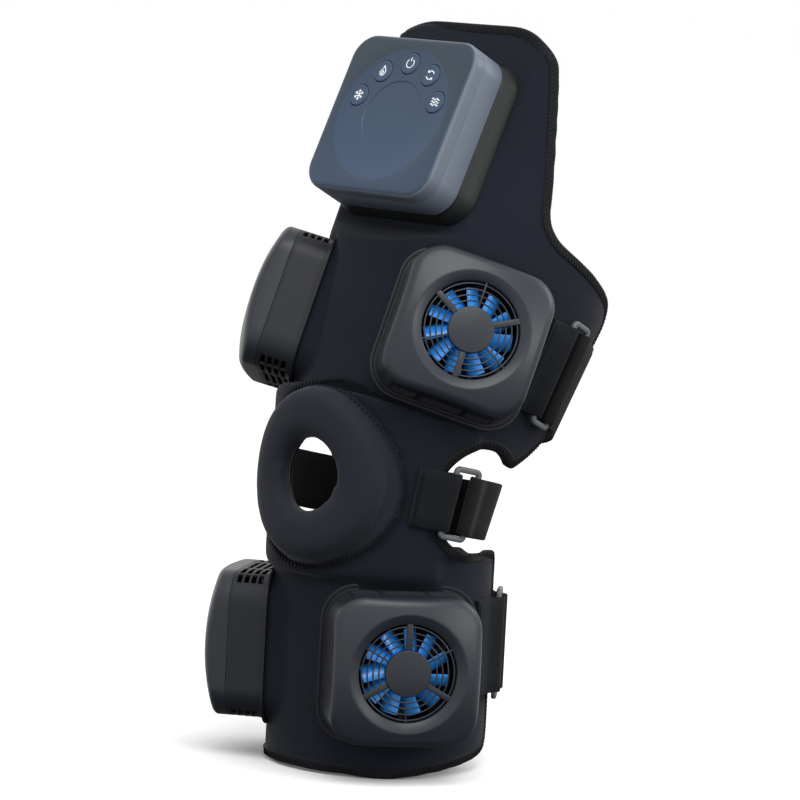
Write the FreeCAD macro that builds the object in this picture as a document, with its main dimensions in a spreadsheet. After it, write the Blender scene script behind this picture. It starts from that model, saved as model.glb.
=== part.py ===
"""Knee wrap that heats, cools and vibrates: a soft two-cuff sleeve with four thermal
modules, a control unit, a patella pad and three ring-and-strap closures.

Frame: millimetres, +Z up the shin, the leg's front faces -Y, its outer side is +X.
The origin is the middle of the knee's bending axis, which runs along X. The thigh cuff
leans back from it, and the knee closure leans by half as much.
"""
import FreeCAD, Part
import os
import re
from math import atan, cos, degrees, hypot, radians, sin, tan

from FreeCAD import Placement, Rotation, Vector
from Sketcher import Constraint

doc = FreeCAD.newDocument("KneeThermalWrap")
sheet = doc.addObject("Spreadsheet::Sheet", "Sizes")

# ---------------------------------------------------------------- driving dimensions
SIZES = {
    # leg and cuffs
    "thigh_lean": 22.5, "knee_lean": 11.25, "cloth": 5.0, "soft_gap": 0.3,
    "overrun": 1.0, "form_end": 20.0, "form_reach": 150.0,
    "calf_radius": 66.5, "calf_centre": -13.0, "calf_top": -35.0, "calf_front_top": -50.0,
    "calf_bottom": -165.0, "calf_rear": 33.0, "calf_corner": 16.0, "calf_step": -31.0,
    "calf_hem_front": -161.0, "calf_hem_low": -169.0, "calf_hem_rear": -157.0,
    "calf_hem_back": -53.0, "calf_hem_corner": 48.0,
    "thigh_radius": 88.0, "thigh_low_radius": 77.0, "thigh_centre": -6.0,
    "thigh_bottom": 30.0, "thigh_full": 130.0, "tongue_top": 276.0, "tongue_edge": -63.0,
    "tongue_corner": 28.0, "waist_back": -34.0, "waist_rise": 158.0, "waist_corner": 20.8,
    "flap_top": 142.0, "flap_rear": 56.0, "flap_corner": 14.0, "tip_corner": 2.8,
    "flap_tip_back": 9.0, "flap_tip_low": 22.0, "flap_heel_back": 31.0, "flap_heel_low": 46.0,
    "flap_step": -25.0,
    "knee_radius": 75.0, "knee_low_radius": 68.0, "knee_high_radius": 78.0, "knee_span": 80.0,
    "knee_centre": -8.0, "notch_radius": 29.3, "notch_centre": -9.1, "notch_high": 1.7,
    "notch_low": -4.0,
    # patella pad
    "pad_turn": 6.5, "pad_drop": 6.0, "pad_width": 108.0, "pad_hole": 50.0, "pad_thick": 15.0,
    "arch_gap": 4.0,
    # where the modules sit
    "seat_margin": 3.0, "seat_clear": 60.0, "patch_depth": 24.0, "ramp_gap": 2.0,
    "calf_seat": 62.0, "calf_seat_turn": 56.0, "calf_seat_drop": 100.0,
    "thigh_seat": 78.4, "thigh_seat_turn": 52.0, "thigh_seat_rise": 81.3,
    # thermal module, measured out from its seat
    "module_width": 89.0, "module_corner": 19.0, "module_edge": 36.0, "dome_radius": 130.0,
    "split_height": 23.0, "shell_wall": 2.2, "rim_lip": 1.6, "rim_thick": 1.4,
    "ceiling": 30.8, "fan_play": 0.2,
    "floor_thick": 2.4, "floor_window": 60.0,
    "dish_radius": 35.5, "vent_radius": 29.5, "dish_depth": 1.6, "grille_thick": 1.6,
    "cap_radius": 14.0, "cap_rise": 0.9, "grille_ring": 1.1, "grille_rings": 3,
    "spoke_width": 4.2, "spoke_fine": 1.2, "spoke_count": 3,
    "spoke_root": 1.0,
    "slot_length": 15.0, "slot_pitch": 18.0, "slot_high": 2.8, "slot_rise": 4.4,
    "slot_rows": 4, "slot_columns": 3, "slot_first": 5.4,
    # fan
    "fan_top": 33.0, "fan_side": 61.0, "fan_base": 18.0, "fan_plate": 1.6, "duct_wall": 0.8,
    "strut_width": 3.4, "bearing_radius": 4.0, "bearing_high": 5.0, "axle_radius": 1.5,
    "axle_gap": 0.05, "axle_low": 1.0, "bore_low": 0.6, "fan_corner": 4.0,
    "hub_radius": 13.4, "hub_top": 31.4, "hub_gap": 0.8,
    "blade_count": 11, "blade_low": 21.4, "blade_high": 30.8,
    "blade_thick": 1.3, "blade_sweep": 24.0, "blade_run": 9.0, "blade_camber": 11.0,
    "blade_length": 15.0, "hub_wall": 1.4,
    # thermal stack
    "plate_width": 70.0, "plate_corner": 8.0, "plate_thick": 3.5, "tile_width": 40.0,
    "sink_width": 64.0, "sink_base": 3.0, "fin_thick": 1.0, "fin_pitch": 5.6,
    "motor_radius": 5.0, "motor_high": 3.2, "motor_offset": 24.2,
    # control unit, measured out from its seat
    "unit_seat": 67.5, "unit_rise": 195.6, "unit_turn": 1.0, "unit_tip": 3.0,
    "unit_width": 104.0, "unit_high": 103.0, "unit_corner": 16.0, "unit_wall": 2.4,
    "dock_high": 13.0, "dock_flare": 3.5, "back_depth": 17.0, "front_depth": 10.0,
    "face_dish": 44.0, "face_dish_slope": 1.5, "face_dish_deep": 0.6, "face_disc": 22.0,
    "face_disc_deep": 0.4,
    "button_radius": 7.0, "button_gap": 0.25, "button_arc": 34.0, "button_step": 36.0,
    "button_count": 5, "button_travel": 0.8, "button_proud": 0.4, "button_flange": 1.0,
    "button_lip": 1.0, "button_foot": 2.2, "button_foot_length": 0.8, "unit_ease": 2.0,
    "board_width": 86.0, "board_high": 50.0, "board_thick": 1.6, "board_rise": 19.5,
    "board_level": 32.0, "board_post": 2.6, "switch_side": 5.0, "press_gap": 0.05,
    "cell_radius": 8.8, "cell_length": 65.0, "cell_low": -36.0, "cell_apart": 19.0,
    "cell_gap": 0.2, "port_back": 0.3,
    "port_width": 9.0, "port_high": 3.3, "port_deep": 7.4, "port_gap": 0.15, "port_skin": 0.4,
    "dock_step": 1.0, "dock_foot": 2.0, "cable_duct": 6.0,
    # ring-and-strap closures
    "webbing": 1.8, "ring_thick": 3.2, "ring_bar": 3.6, "ring_width": 19.0,
    "bar_gap": 0.35, "strap_play": 0.7, "strap_tail": 16.0,
    "thigh_ring": 68.0, "thigh_ring_turn": 101.0, "thigh_ring_rise": 85.0, "thigh_tab": 9.0,
    "knee_ring": 45.0, "knee_ring_turn": 76.0, "knee_ring_drop": 7.0, "knee_tab": 15.0,
    "calf_ring": 68.0, "calf_ring_turn": 131.0, "calf_ring_drop": 92.0, "calf_tab": 22.0,
    "thigh_anchor_turn": 106.0, "knee_anchor_turn": 62.0, "calf_anchor_turn": 119.0,
    "strap_anchor": 24.0, "knee_bend": 40.0, "tail_gap": 0.02, "slot_play": 1.0,
}


def fill_sheet():
    """Writes each size and its alias into the sheet."""
    for row, (name, number) in enumerate(SIZES.items(), start=1):
        sheet.set("A%d" % row, name)
        sheet.set("B%d" % row, str(number))
        sheet.setAlias("B%d" % row, name)
    doc.recompute()


def size(name):
    """Reads one size back from the sheet."""
    return float(getattr(sheet, name))


def link(expression):
    """Puts the sheet's name before each alias in an expression."""
    return re.sub(r"[a-z_]+", lambda word: "Sizes." + word.group() if word.group() in SIZES
                  else word.group(), expression)


def bind(item, **formulas):
    """Ties properties to expressions of the sizes; x, y and z are the base point."""
    for prop, expression in formulas.items():
        path = ".Placement.Base." + prop if prop in "xyz" else prop
        item.setExpression(path, link(expression))
    return item


# ---------------------------------------------------------------- small builders
def solid(kind, name, turn=0.0, **formulas):
    """A bound Part primitive, turned about Z by some degrees."""
    item = doc.addObject("Part::" + kind, name)
    item.Placement = Placement(Vector(), Rotation(Vector(0, 0, 1), turn))
    return bind(item, **formulas)


def block(name, wide, deep, high, x="0", y="0", z="0"):
    """A box centred on x and y and standing on z."""
    return solid("Box", name, Length=wide, Width=deep, Height=high,
                 x="%s - (%s) / 2" % (x, wide), y="%s - (%s) / 2" % (y, deep), z=z)


def rod(name, radius, high, x="0", y="0", z="0"):
    """An upright cylinder standing on z."""
    return solid("Cylinder", name, Radius=radius, Height=high, x=x, y=y, z=z)


def cut(name, base, tool):
    item = doc.addObject("Part::Cut", name)
    item.Base, item.Tool, item.Refine = base, tool, True
    return item


def common(name, base, tool):
    item = doc.addObject("Part::Common", name)
    item.Base, item.Tool, item.Refine = base, tool, True
    return item


def fuse(name, pieces):
    item = doc.addObject("Part::MultiFuse", name)
    item.Shapes, item.Refine = pieces, True
    return item


def gather(name, pieces):
    item = doc.addObject("Part::Compound", name)
    item.Links = pieces
    return item


def rounded_square(name, wide, high, radius, z="0"):
    """A free sketch of a rounded rectangle, centred, with its sizes bound."""
    drawing = doc.addObject("Sketcher::SketchObject", name)
    half, low, curve = 40.0, 30.0, 8.0
    corners = [(half, low, 0), (-half, low, 90), (-half, -low, 180), (half, -low, 270)]
    for x, y, start in corners:
        middle = Vector(x - curve * (1 if x > 0 else -1), y - curve * (1 if y > 0 else -1), 0)
        circle = Part.Circle(middle, Vector(0, 0, 1), curve)
        drawing.addGeometry(Part.ArcOfCircle(circle, radians(start), radians(start + 90)))
    ends = [(drawing.Geometry[i].EndPoint, drawing.Geometry[(i + 1) % 4].StartPoint)
            for i in range(4)]
    for first, last in ends:
        drawing.addGeometry(Part.LineSegment(first, last))
    for i in range(4):
        after = (i + 1) % 4
        drawing.addConstraint(Constraint("Tangent", i, 2, 4 + i, 1))
        drawing.addConstraint(Constraint("Tangent", 4 + i, 2, after, 1))
        drawing.addConstraint(Constraint("Horizontal" if i % 2 == 0 else "Vertical", 4 + i))
    for i in range(1, 4):
        drawing.addConstraint(Constraint("Equal", 0, i))
    drawing.addConstraint(Constraint("Symmetric", 0, 3, 2, 3, -1, 1))
    curve_at = drawing.addConstraint(Constraint("Radius", 0, curve))
    wide_at = drawing.addConstraint(Constraint("DistanceX", 5, 1, 7, 1, 2 * half))
    high_at = drawing.addConstraint(Constraint("DistanceY", 6, 1, 4, 1, 2 * low))
    for place, expression in ((curve_at, radius), (wide_at, wide), (high_at, high)):
        drawing.setExpression("Constraints[%d]" % place, link(expression))
    return bind(drawing, z=z)


def slab(name, wide, high, radius, z, thick):
    """A rounded rectangular prism standing on z."""
    item = doc.addObject("Part::Extrusion", name)
    item.Base = rounded_square(name + "_outline", wide, high, radius, z)
    item.DirMode, item.Dir, item.Solid = "Custom", Vector(0, 0, 1), True
    return bind(item, LengthFwd=thick)


def spun(item, turn, x, y, z):
    """Places an item at x, y, z and then turns it about the Z axis."""
    item.Placement = Placement(Vector(), Rotation(Vector(0, 0, 1), turn)) * Placement(
        Vector(x, y, z), Rotation())
    return item


# ---------------------------------------------------------------- where things sit
def lean(angle):
    """A frame that leans back from the knee axis by an angle."""
    return Placement(Vector(), Rotation(Vector(1, 0, 0), -angle))


def outward(centre, turn, distance, rise, tip=0.0):
    """A frame on a cuff: x runs round the leg, y up it and z out of it."""
    facing = Rotation(Vector(0, 0, 1), turn) * Rotation(Vector(1, 0, 0), 90)
    out = facing.multVec(Vector(0, 0, distance))
    return Placement(out + Vector(0, centre, rise), facing * Rotation(Vector(1, 0, 0), -tip))


THIGH, KNEE, CALF = "thigh", "knee", "calf"


def cuff_frame(cuff):
    """The frame of the thigh cuff, the knee closure or the calf cuff."""
    return lean({THIGH: size("thigh_lean"), KNEE: size("knee_lean"), CALF: 0.0}[cuff])


def module_seat(cuff, side):
    """A thermal module's frame within its cuff; side is 1 outside and -1 inside."""
    if cuff == THIGH:
        seat = outward(size("thigh_centre"), side * size("thigh_seat_turn"), size("thigh_seat"),
                       size("thigh_seat_rise"))
        return seat * Placement(Vector(), Rotation(Vector(0, 0, 1), 180))
    return outward(size("calf_centre"), side * size("calf_seat_turn"), size("calf_seat"),
                   -size("calf_seat_drop"))


def unit_seat():
    """The control unit's frame within the thigh cuff."""
    return outward(size("thigh_centre"), size("unit_turn"), size("unit_seat"),
                   size("unit_rise"), size("unit_tip"))


# ---------------------------------------------------------------- thermal module
DOME_CENTRE = "(module_edge - sqrt(dome_radius ^ 2 - module_width ^ 2 / 4))"
DOME_FACE = DOME_CENTRE + " + sqrt(dome_radius ^ 2 - dish_radius ^ 2)"
CROWN = DOME_CENTRE + " + dome_radius"
DISH_FLOOR = DOME_FACE + " - dish_depth"
PLATE_TOP = "plate_thick - cloth"
DUCT_RADIUS = "fan_side / 2 - duct_wall"


def module_cover(tag):
    """The domed front shell with its dished fan eye and moulded grille."""
    block_form = slab(tag + "_face", "module_width", "module_width", "module_corner",
                      "split_height", CROWN + " - split_height")
    ball = solid("Sphere", tag + "_dome", Radius="dome_radius", z=DOME_CENTRE)
    skin = common(tag + "_skin", block_form, ball)
    room = slab(tag + "_inside", "module_width - 2 * shell_wall", "module_width - 2 * shell_wall",
                "module_corner - shell_wall", "split_height - overrun",
                "ceiling - split_height + overrun")
    nest = block(tag + "_nest", "fan_side + 2 * fan_play", "fan_side + 2 * fan_play",
                 "fan_top - split_height", z="split_height")
    dish = rod(tag + "_dish", "dish_radius", "dish_depth + dome_radius", z=DISH_FLOOR)
    eye = rod(tag + "_eye", "vent_radius", CROWN)
    shell = cut(tag + "_shell", skin, fuse(tag + "_hollow", [room, nest, dish, eye]))
    return fuse(tag, [shell, module_grille(tag + "_grille")])


def module_grille(tag):
    """Concentric rings on three broad and three fine spokes, round a raised cap."""
    low = DISH_FLOOR + " - grille_thick"
    pieces = [solid("Cylinder", tag + "_cap", Radius="cap_radius", z=low,
                    Height="grille_thick + cap_rise")]
    for number in range(1, int(size("grille_rings")) + 1):
        middle = "cap_radius + (vent_radius - cap_radius) * %d / (grille_rings + 1)" % number
        outer = rod(tag + "_ring", middle + " + grille_ring / 2", "grille_thick", z=low)
        inner = rod(tag + "_gap", middle + " - grille_ring / 2", "grille_thick", z=low)
        pieces.append(cut(tag + "_hoop", outer, inner))
    start = size("cap_radius") - size("spoke_root")
    floor = sheet.evalExpression(low)
    for number in range(int(size("spoke_count"))):
        for wide, shift in (("spoke_width", 0.0), ("spoke_fine", 0.5)):
            bar = solid("Box", tag + "_spoke", Length=wide, Height="grille_thick",
                        Width="vent_radius - cap_radius + 1.5 * spoke_root")
            turn = 360 * (number + shift) / size("spoke_count")
            pieces.append(spun(bar, turn, -size(wide) / 2, start, floor))
    return fuse(tag, pieces)


def module_housing(tag):
    """The rear shell: vented end walls, a rim against the cloth and a floor with a window."""
    walls = slab(tag + "_outer", "module_width", "module_width", "module_corner", "0",
                 "split_height")
    room = slab(tag + "_room", "module_width - 2 * shell_wall", "module_width - 2 * shell_wall",
                "module_corner - shell_wall", "floor_thick", "split_height")
    rim = slab(tag + "_rim", "module_width + 2 * rim_lip", "module_width + 2 * rim_lip",
               "module_corner + rim_lip", "0", "rim_thick")
    body = cut(tag + "_shell", fuse(tag + "_solid", [walls, rim]), room)
    holes = [block(tag + "_window", "floor_window", "floor_window", "2 * floor_thick",
                   z="0 - overrun")]
    columns = int(size("slot_columns"))
    for wall in (-1, 1):
        for row in range(int(size("slot_rows"))):
            for column in range(columns):
                holes.append(block(
                    tag + "_slot", "slot_length", "4 * shell_wall", "slot_high",
                    "slot_pitch * %g" % (column - (columns - 1) / 2.0),
                    "(module_width / 2 - shell_wall / 2) * %d" % wall,
                    "slot_first - slot_high / 2 + slot_rise * %d" % row))
    return cut(tag, body, fuse(tag + "_holes", holes))


def fan_frame(tag):
    """The square duct with a three-strut motor seat and its bearing tube."""
    square = slab(tag + "_square", "fan_side", "fan_side", "fan_corner", "fan_base", "fan_top - fan_base")
    duct = rod(tag + "_duct", DUCT_RADIUS, "fan_top", z="fan_base - overrun")
    tube = rod(tag + "_tube", "bearing_radius", "fan_plate + bearing_high", z="fan_base")
    floor, reach = size("fan_base"), size("bearing_radius")
    pieces = [cut(tag + "_walls", square, duct), tube]
    for number in range(int(size("spoke_count"))):
        strut = solid("Box", tag + "_strut", Length="strut_width", Height="fan_plate",
                      Width="fan_side / 2 - bearing_radius - duct_wall / 2")
        turn = 360 * (number + 0.5) / size("spoke_count")
        pieces.append(spun(strut, turn, -size("strut_width") / 2, reach, floor))
    bore = rod(tag + "_bore", "axle_radius + axle_gap", "fan_plate + bearing_high",
               z="fan_base + bore_low")
    return cut(tag, fuse(tag + "_solid", pieces), bore)


def origin_plane(body, role):
    """The body's own origin plane with the given role."""
    return [plane for plane in body.Origin.OriginFeatures if plane.Role == role][0]


def ring_sketch(body, name, radius, rise):
    """A circle on the body's XY plane, lifted to a height."""
    drawing = body.newObject("Sketcher::SketchObject", name)
    drawing.AttachmentSupport = [(origin_plane(body, "XY_Plane"), "")]
    drawing.MapMode = "FlatFace"
    drawing.setExpression(".AttachmentOffset.Base.z", link(rise))
    drawing.addGeometry(Part.Circle(Vector(), Vector(0, 0, 1), 3.0))
    drawing.addConstraint(Constraint("Coincident", 0, 3, -1, 1))
    at = drawing.addConstraint(Constraint("Radius", 0, 3.0))
    drawing.setExpression("Constraints[%d]" % at, link(radius))
    return drawing


def blade_section(body, name):
    """A fan blade's cambered section on an upright plane at the hub, turned by the sweep.

    Two equal arcs side by side, closed by a short flat at the low and at the high edge.
    """
    drawing = body.newObject("Sketcher::SketchObject", name)
    drawing.AttachmentSupport = [(origin_plane(body, "XZ_Plane"), "")]
    drawing.MapMode = "FlatFace"
    drawing.AttachmentOffset = Placement(Vector(), Rotation(Vector(0, 1, 0), size("blade_sweep")))
    drawing.setExpression(".AttachmentOffset.Base.z", link("hub_radius - hub_wall"))
    drawing.setExpression(".AttachmentOffset.Rotation.Angle", link("blade_sweep * 1 deg"))
    low, high, thick = size("blade_low"), size("blade_high"), size("blade_thick")
    half, across = size("blade_run") / 2, Vector(size("blade_thick"), 0, 0)
    foot, top = Vector(-half, low, 0), Vector(half - thick, high, 0)
    crown = (foot + top) * 0.5 + Vector(low - high, 2 * half - thick, 0).normalize()
    for shift in (Vector(), across):
        drawing.addGeometry(Part.Arc(foot + shift, crown + shift, top + shift))
    drawing.addGeometry(Part.LineSegment(foot, foot + across))
    drawing.addGeometry(Part.LineSegment(top, top + across))

    def end(curve, point):
        return curve, 1 if drawing.getPoint(curve, 1).isEqual(point, 1e-6) else 2

    joins = [(end(0, foot), (2, 1)), (end(1, foot + across), (2, 2)),
             (end(0, top), (3, 1)), (end(1, top + across), (3, 2))]
    for first, second in joins:
        drawing.addConstraint(Constraint("Coincident", *first, *second))
    drawing.addConstraint(Constraint("Horizontal", 2))
    drawing.addConstraint(Constraint("Horizontal", 3))
    drawing.addConstraint(Constraint("Equal", 0, 1))
    spans = [("DistanceX", (2, 1, 2, 2), thick, "blade_thick"),
             ("DistanceX", (2, 1, -1, 1), half, "blade_run / 2"),
             ("DistanceX", (-1, 1, 3, 2), half, "blade_run / 2"),
             ("DistanceY", (-1, 1, 2, 1), low, "blade_low"),
             ("DistanceY", (-1, 1, 3, 1), high, "blade_high"),
             ("Radius", (0,), size("blade_camber"), "blade_camber")]
    for kind, ends, length, expression in spans:
        at = drawing.addConstraint(Constraint(kind, *ends, length))
        drawing.setExpression("Constraints[%d]" % at, link(expression))
    return drawing


def fan_rotor(tag):
    """The hub cup on its axle, with swept and cambered blades in a polar pattern."""
    body = doc.addObject("PartDesign::Body", tag)
    floor = "fan_base + fan_plate + hub_gap"
    hub = body.newObject("PartDesign::Pad", tag + "_hub")
    hub.Profile = ring_sketch(body, tag + "_hub_circle", "hub_radius", floor)
    bind(hub, Length="hub_top - (%s)" % floor)
    cup = body.newObject("PartDesign::Pocket", tag + "_cup")
    cup.Profile = ring_sketch(body, tag + "_cup_circle", "hub_radius - hub_wall", floor)
    cup.Reversed = True
    bind(cup, Length="hub_top - hub_wall - (%s)" % floor)
    axle = body.newObject("PartDesign::Pad", tag + "_axle")
    axle.Profile = ring_sketch(body, tag + "_axle_circle", "axle_radius", "fan_base + axle_low")
    bind(axle, Length="hub_top - fan_base - axle_low - hub_wall / 2")
    blade = body.newObject("PartDesign::Pad", tag + "_blade")
    blade.Profile = blade_section(body, tag + "_section")
    bind(blade, Length="blade_length")
    doc.recompute()
    ring = body.newObject("PartDesign::PolarPattern", tag + "_blades")
    ring.Originals = [blade]
    ring.Axis = (origin_axis(body), [""])
    ring.Angle = 360
    ring.setExpression("Occurrences", link("blade_count"))
    body.Tip = ring
    return body


def origin_axis(body):
    """The body's own Z axis."""
    return [axis for axis in body.Origin.OriginFeatures if axis.Role == "Z_Axis"][0]


def heat_sink(tag):
    """A finned plate; its fins run up the leg so that air leaves by the end vents."""
    pieces = [block(tag + "_base", "sink_width", "sink_width", "sink_base", z="floor_thick")]
    fins = int((size("sink_width") - size("fin_thick")) / size("fin_pitch") / 2) * 2 + 1
    for number in range(fins):
        pieces.append(block(tag + "_fin", "fin_thick", "sink_width",
                            "fan_base - floor_thick - sink_base / 2",
                            "fin_pitch * %g" % (number - (fins - 1) / 2.0),
                            z="floor_thick + sink_base / 2"))
    return fuse(tag, pieces)


def peltier_tile(tag):
    """The thermoelectric tile between the cold plate and the heat sink."""
    return gather(tag, [block(tag + "_tile", "tile_width", "tile_width",
                              "floor_thick - (%s)" % PLATE_TOP, z=PLATE_TOP)])


def cold_plate(tag):
    """The rounded plate that meets the skin through the cuff's window."""
    return slab(tag, "plate_width", "plate_width", "plate_corner", "0 - cloth", "plate_thick")


def buzz_motor(tag):
    """A coin vibration motor on the cold plate, beside the tile."""
    return gather(tag, [rod(tag + "_can", "motor_radius", "motor_high", "motor_offset",
                            "motor_offset", PLATE_TOP)])


# ---------------------------------------------------------------- control unit
UNIT_FACE = "dock_high + back_depth + front_depth"
DISH_LEVEL = "(%s - face_dish_deep)" % UNIT_FACE
SHELL_UNDER = "(%s - unit_wall)" % UNIT_FACE
FLANGE_TOP = "(%s - button_gap)" % SHELL_UNDER
FOOT_END = "(%s - button_flange - button_foot_length)" % FLANGE_TOP
SWITCH_TOP = "(%s - button_travel - press_gap)" % FOOT_END


def arc_spots():
    """The buttons' places on their arc, from the left end over the top to the right end."""
    count = int(size("button_count"))
    for number in range(count):
        angle = 90 - size("button_step") * (number - (count - 1) / 2.0)
        yield ("button_arc * cos(%g)" % angle, "button_arc * sin(%g)" % angle)


def bevelled(name, item, level, down, inward):
    """Bevels the outline of an item's face at one height, by a drop and a draw-in."""
    doc.recompute()
    height = sheet.evalExpression(level)
    chosen = [number for number, edge in enumerate(item.Shape.Edges, start=1)
              if all(abs(point.z - height) < 1e-4 for point in
                     [vertex.Point for vertex in edge.Vertexes] + [edge.CenterOfMass])]
    bevel = doc.addObject("Part::Chamfer", name)
    bevel.Base = item
    bevel.Edges = [(number, inward, down) for number in chosen]
    return bevel


def unit_front(tag):
    """The front shell: a rounded face with a shallow dish, a centre disc and button holes."""
    start = "dock_high + back_depth"
    outer = slab(tag + "_outer", "unit_width", "unit_high", "unit_corner", start, "front_depth")
    outer = bevelled(tag + "_bevel", outer, UNIT_FACE, size("unit_ease"), size("unit_ease"))
    room = slab(tag + "_room", "unit_width - 2 * unit_wall", "unit_high - 2 * unit_wall",
                "unit_corner - unit_wall", start + " - overrun", "front_depth - unit_wall + overrun")
    dish = solid("Cone", tag + "_dish", Radius1="face_dish - face_dish_slope", Radius2="face_dish",
                 Height="face_dish_deep", z=DISH_LEVEL)
    disc = rod(tag + "_disc", "face_disc", "2 * face_dish_deep",
               z=DISH_LEVEL + " - face_disc_deep")
    holes = [rod(tag + "_hole", "button_radius + button_gap", "3 * unit_wall", x, y,
                 SHELL_UNDER + " - unit_wall") for x, y in arc_spots()]
    return cut(tag, outer, fuse(tag + "_openings", [room, dish, disc] + holes))


def unit_back(tag):
    """The rear shell: floor, walls, a port opening and posts for the circuit board."""
    outer = slab(tag + "_outer", "unit_width", "unit_high", "unit_corner", "dock_high",
                 "back_depth")
    room = slab(tag + "_room", "unit_width - 2 * unit_wall", "unit_high - 2 * unit_wall",
                "unit_corner - unit_wall", "dock_high + unit_wall", "back_depth")
    posts = [block(tag + "_post", "2 * board_post", "2 * board_post",
                   "board_level - dock_high - unit_wall / 2", x, y, "dock_high + unit_wall / 2")
             for x, y in board_posts()]
    mouth = block(tag + "_mouth", "port_width + 2 * port_gap", "3 * unit_wall",
                  "port_high + 2 * port_gap", y="unit_high / 2",
                  z="dock_high + unit_wall + port_gap")
    return cut(tag, fuse(tag + "_solid", [cut(tag + "_shell", outer, room)] + posts), mouth)


def board_posts():
    """Four post places under the corners of the circuit board."""
    across = "(board_width / 2 - 2 * board_post)"
    along = "(board_high / 2 - 2 * board_post)"
    return [("%s * %d" % (across, sx), "board_rise + %s * %d" % (along, sy))
            for sx in (-1, 1) for sy in (-1, 1)]


def unit_dock(tag):
    """The flared dock that is fixed to the cuff and carries the unit."""
    flared = slab(tag + "_base", "unit_width + 2 * dock_flare", "unit_high + 2 * dock_flare",
                  "unit_corner + dock_flare", "0", "dock_high")
    skirt = bevelled(tag + "_skirt", flared, "dock_high", size("dock_high") - size("dock_foot"),
                     size("dock_flare") + size("dock_step"))
    duct = rod(tag + "_duct", "cable_duct", "2 * dock_high", z="0 - overrun")
    return cut(tag, skirt, duct)


def circuit_board(tag):
    """The board with one switch under each button."""
    pieces = [block(tag + "_plate", "board_width", "board_high", "board_thick", y="board_rise",
                    z="board_level")]
    for x, y in arc_spots():
        pieces.append(block(tag + "_switch", "switch_side", "switch_side",
                            SWITCH_TOP + " - board_level - board_thick / 2", x, y,
                            "board_level + board_thick / 2"))
    return fuse(tag, pieces)


def battery_cells(tag):
    """Two cells lying side by side across the floor of the rear shell."""
    cells = []
    for number in (0, 1):
        cell = doc.addObject("Part::Cylinder", tag + "_cell")
        bind(cell, Radius="cell_radius", Height="cell_length", x="0 - cell_length / 2",
             y="cell_low + cell_apart * %d" % number, z="dock_high + unit_wall + cell_radius + cell_gap")
        cell.Placement.Rotation = Rotation(Vector(0, 1, 0), 90)
        cells.append(cell)
    return gather(tag, cells)


def charge_port(tag):
    """The metal charging socket with its tongue, just inside the top wall."""
    back = "unit_high / 2 - port_deep / 2 - port_back"
    low = "dock_high + unit_wall + 2 * port_gap"
    shell = block(tag + "_shell", "port_width", "port_deep", "port_high", y=back, z=low)
    mouth = block(tag + "_mouth", "port_width - 2 * port_skin", "port_deep",
                  "port_high - 2 * port_skin", y=back + " + port_skin", z=low + " + port_skin")
    tongue = block(tag + "_tongue", "port_width - 6 * port_skin", "port_deep - 4 * port_skin",
                   "port_high / 5", y=back + " - port_skin", z=low + " + port_high * 0.4")
    return fuse(tag, [cut(tag + "_hollow", shell, mouth), tongue])


def control_button(tag, x, y):
    """A round key on a square retaining flange, with a foot over its switch."""
    cap = rod(tag + "_cap", "button_radius", "%s + button_proud - %s" % (DISH_LEVEL, FLANGE_TOP),
              x, y, FLANGE_TOP)
    flange = block(tag + "_flange", "2 * (button_radius + button_lip)",
                   "2 * (button_radius + button_lip)", "button_flange", x, y,
                   FLANGE_TOP + " - button_flange")
    foot = block(tag + "_foot", "2 * button_foot", "2 * button_foot", "button_foot_length",
                 x, y, FOOT_END)
    return fuse(tag, [cap, flange, foot])


# ---------------------------------------------------------------- soft cuffs
def feature(name, shape):
    """Keeps a shape that is built from the named sizes as a document feature."""
    item = doc.addObject("Part::Feature", name)
    item.Shape = shape
    return item


def side_outline(corner_points):
    """A closed face in the Y-Z plane: straight sides with a tangent arc at each corner.

    Each corner is (y, z, radius); a radius of 0 leaves it sharp.
    """
    edges, ends = [], []
    count = len(corner_points)
    for i, (y, z, radius) in enumerate(corner_points):
        here = Vector(0, y, z)
        before = Vector(0, *corner_points[i - 1][:2]) - here
        after = Vector(0, *corner_points[(i + 1) % count][:2]) - here
        reach = radius / tan(before.getAngle(after) / 2)
        before.normalize()
        after.normalize()
        first, last = here + before * reach, here + after * reach
        if radius:
            inward = (before + after).normalize()
            rise = radius / sin(before.getAngle(after) / 2) - radius
            edges.append(Part.Arc(first, here + inward * rise, last).toShape())
        ends.append((first, last, len(edges) - 1 if radius else None))
    ordered = []
    for i in range(count):
        first, last, arc = ends[i]
        if arc is not None:
            ordered.append(edges[arc])
        ordered.append(Part.LineSegment(last, ends[(i + 1) % count][0]).toShape())
    return Part.Face(Part.Wire(ordered))


def through(name, face):
    """A side outline pushed through the leg along X."""
    reach = size("form_reach")
    face.translate(Vector(-reach, 0, 0))
    return feature(name, face.extrude(Vector(2 * reach, 0, 0)))


def thigh_radius_at(rise):
    """The thigh cuff's outer radius: a cone up to the full height, then a cylinder."""
    growth, high = size("thigh_radius") - size("thigh_low_radius"), size("thigh_full")
    slope = growth / (high - size("thigh_bottom"))
    return min(size("thigh_radius"), size("thigh_radius") - slope * (high - rise))


def thigh_core(name, inset):
    """The thigh cuff's full round form, drawn in by an inset, with flats at the seats."""
    low, full = size("thigh_bottom") - size("form_end"), size("thigh_full")
    top = size("tongue_top") + size("form_end")
    wide, centre = size("thigh_radius") - inset, size("thigh_centre")
    cone = Part.makeCone(thigh_radius_at(low) - inset, wide, full - low, Vector(0, centre, low))
    form = cone.fuse(Part.makeCylinder(wide, top - full, Vector(0, centre, full)))
    for side in (-1, 1):
        form = form.cut(seat_clearance(module_seat(THIGH, side), inset))
    form = form.cut(unit_clearance(inset))
    return feature(name, form.removeSplitter())


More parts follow.
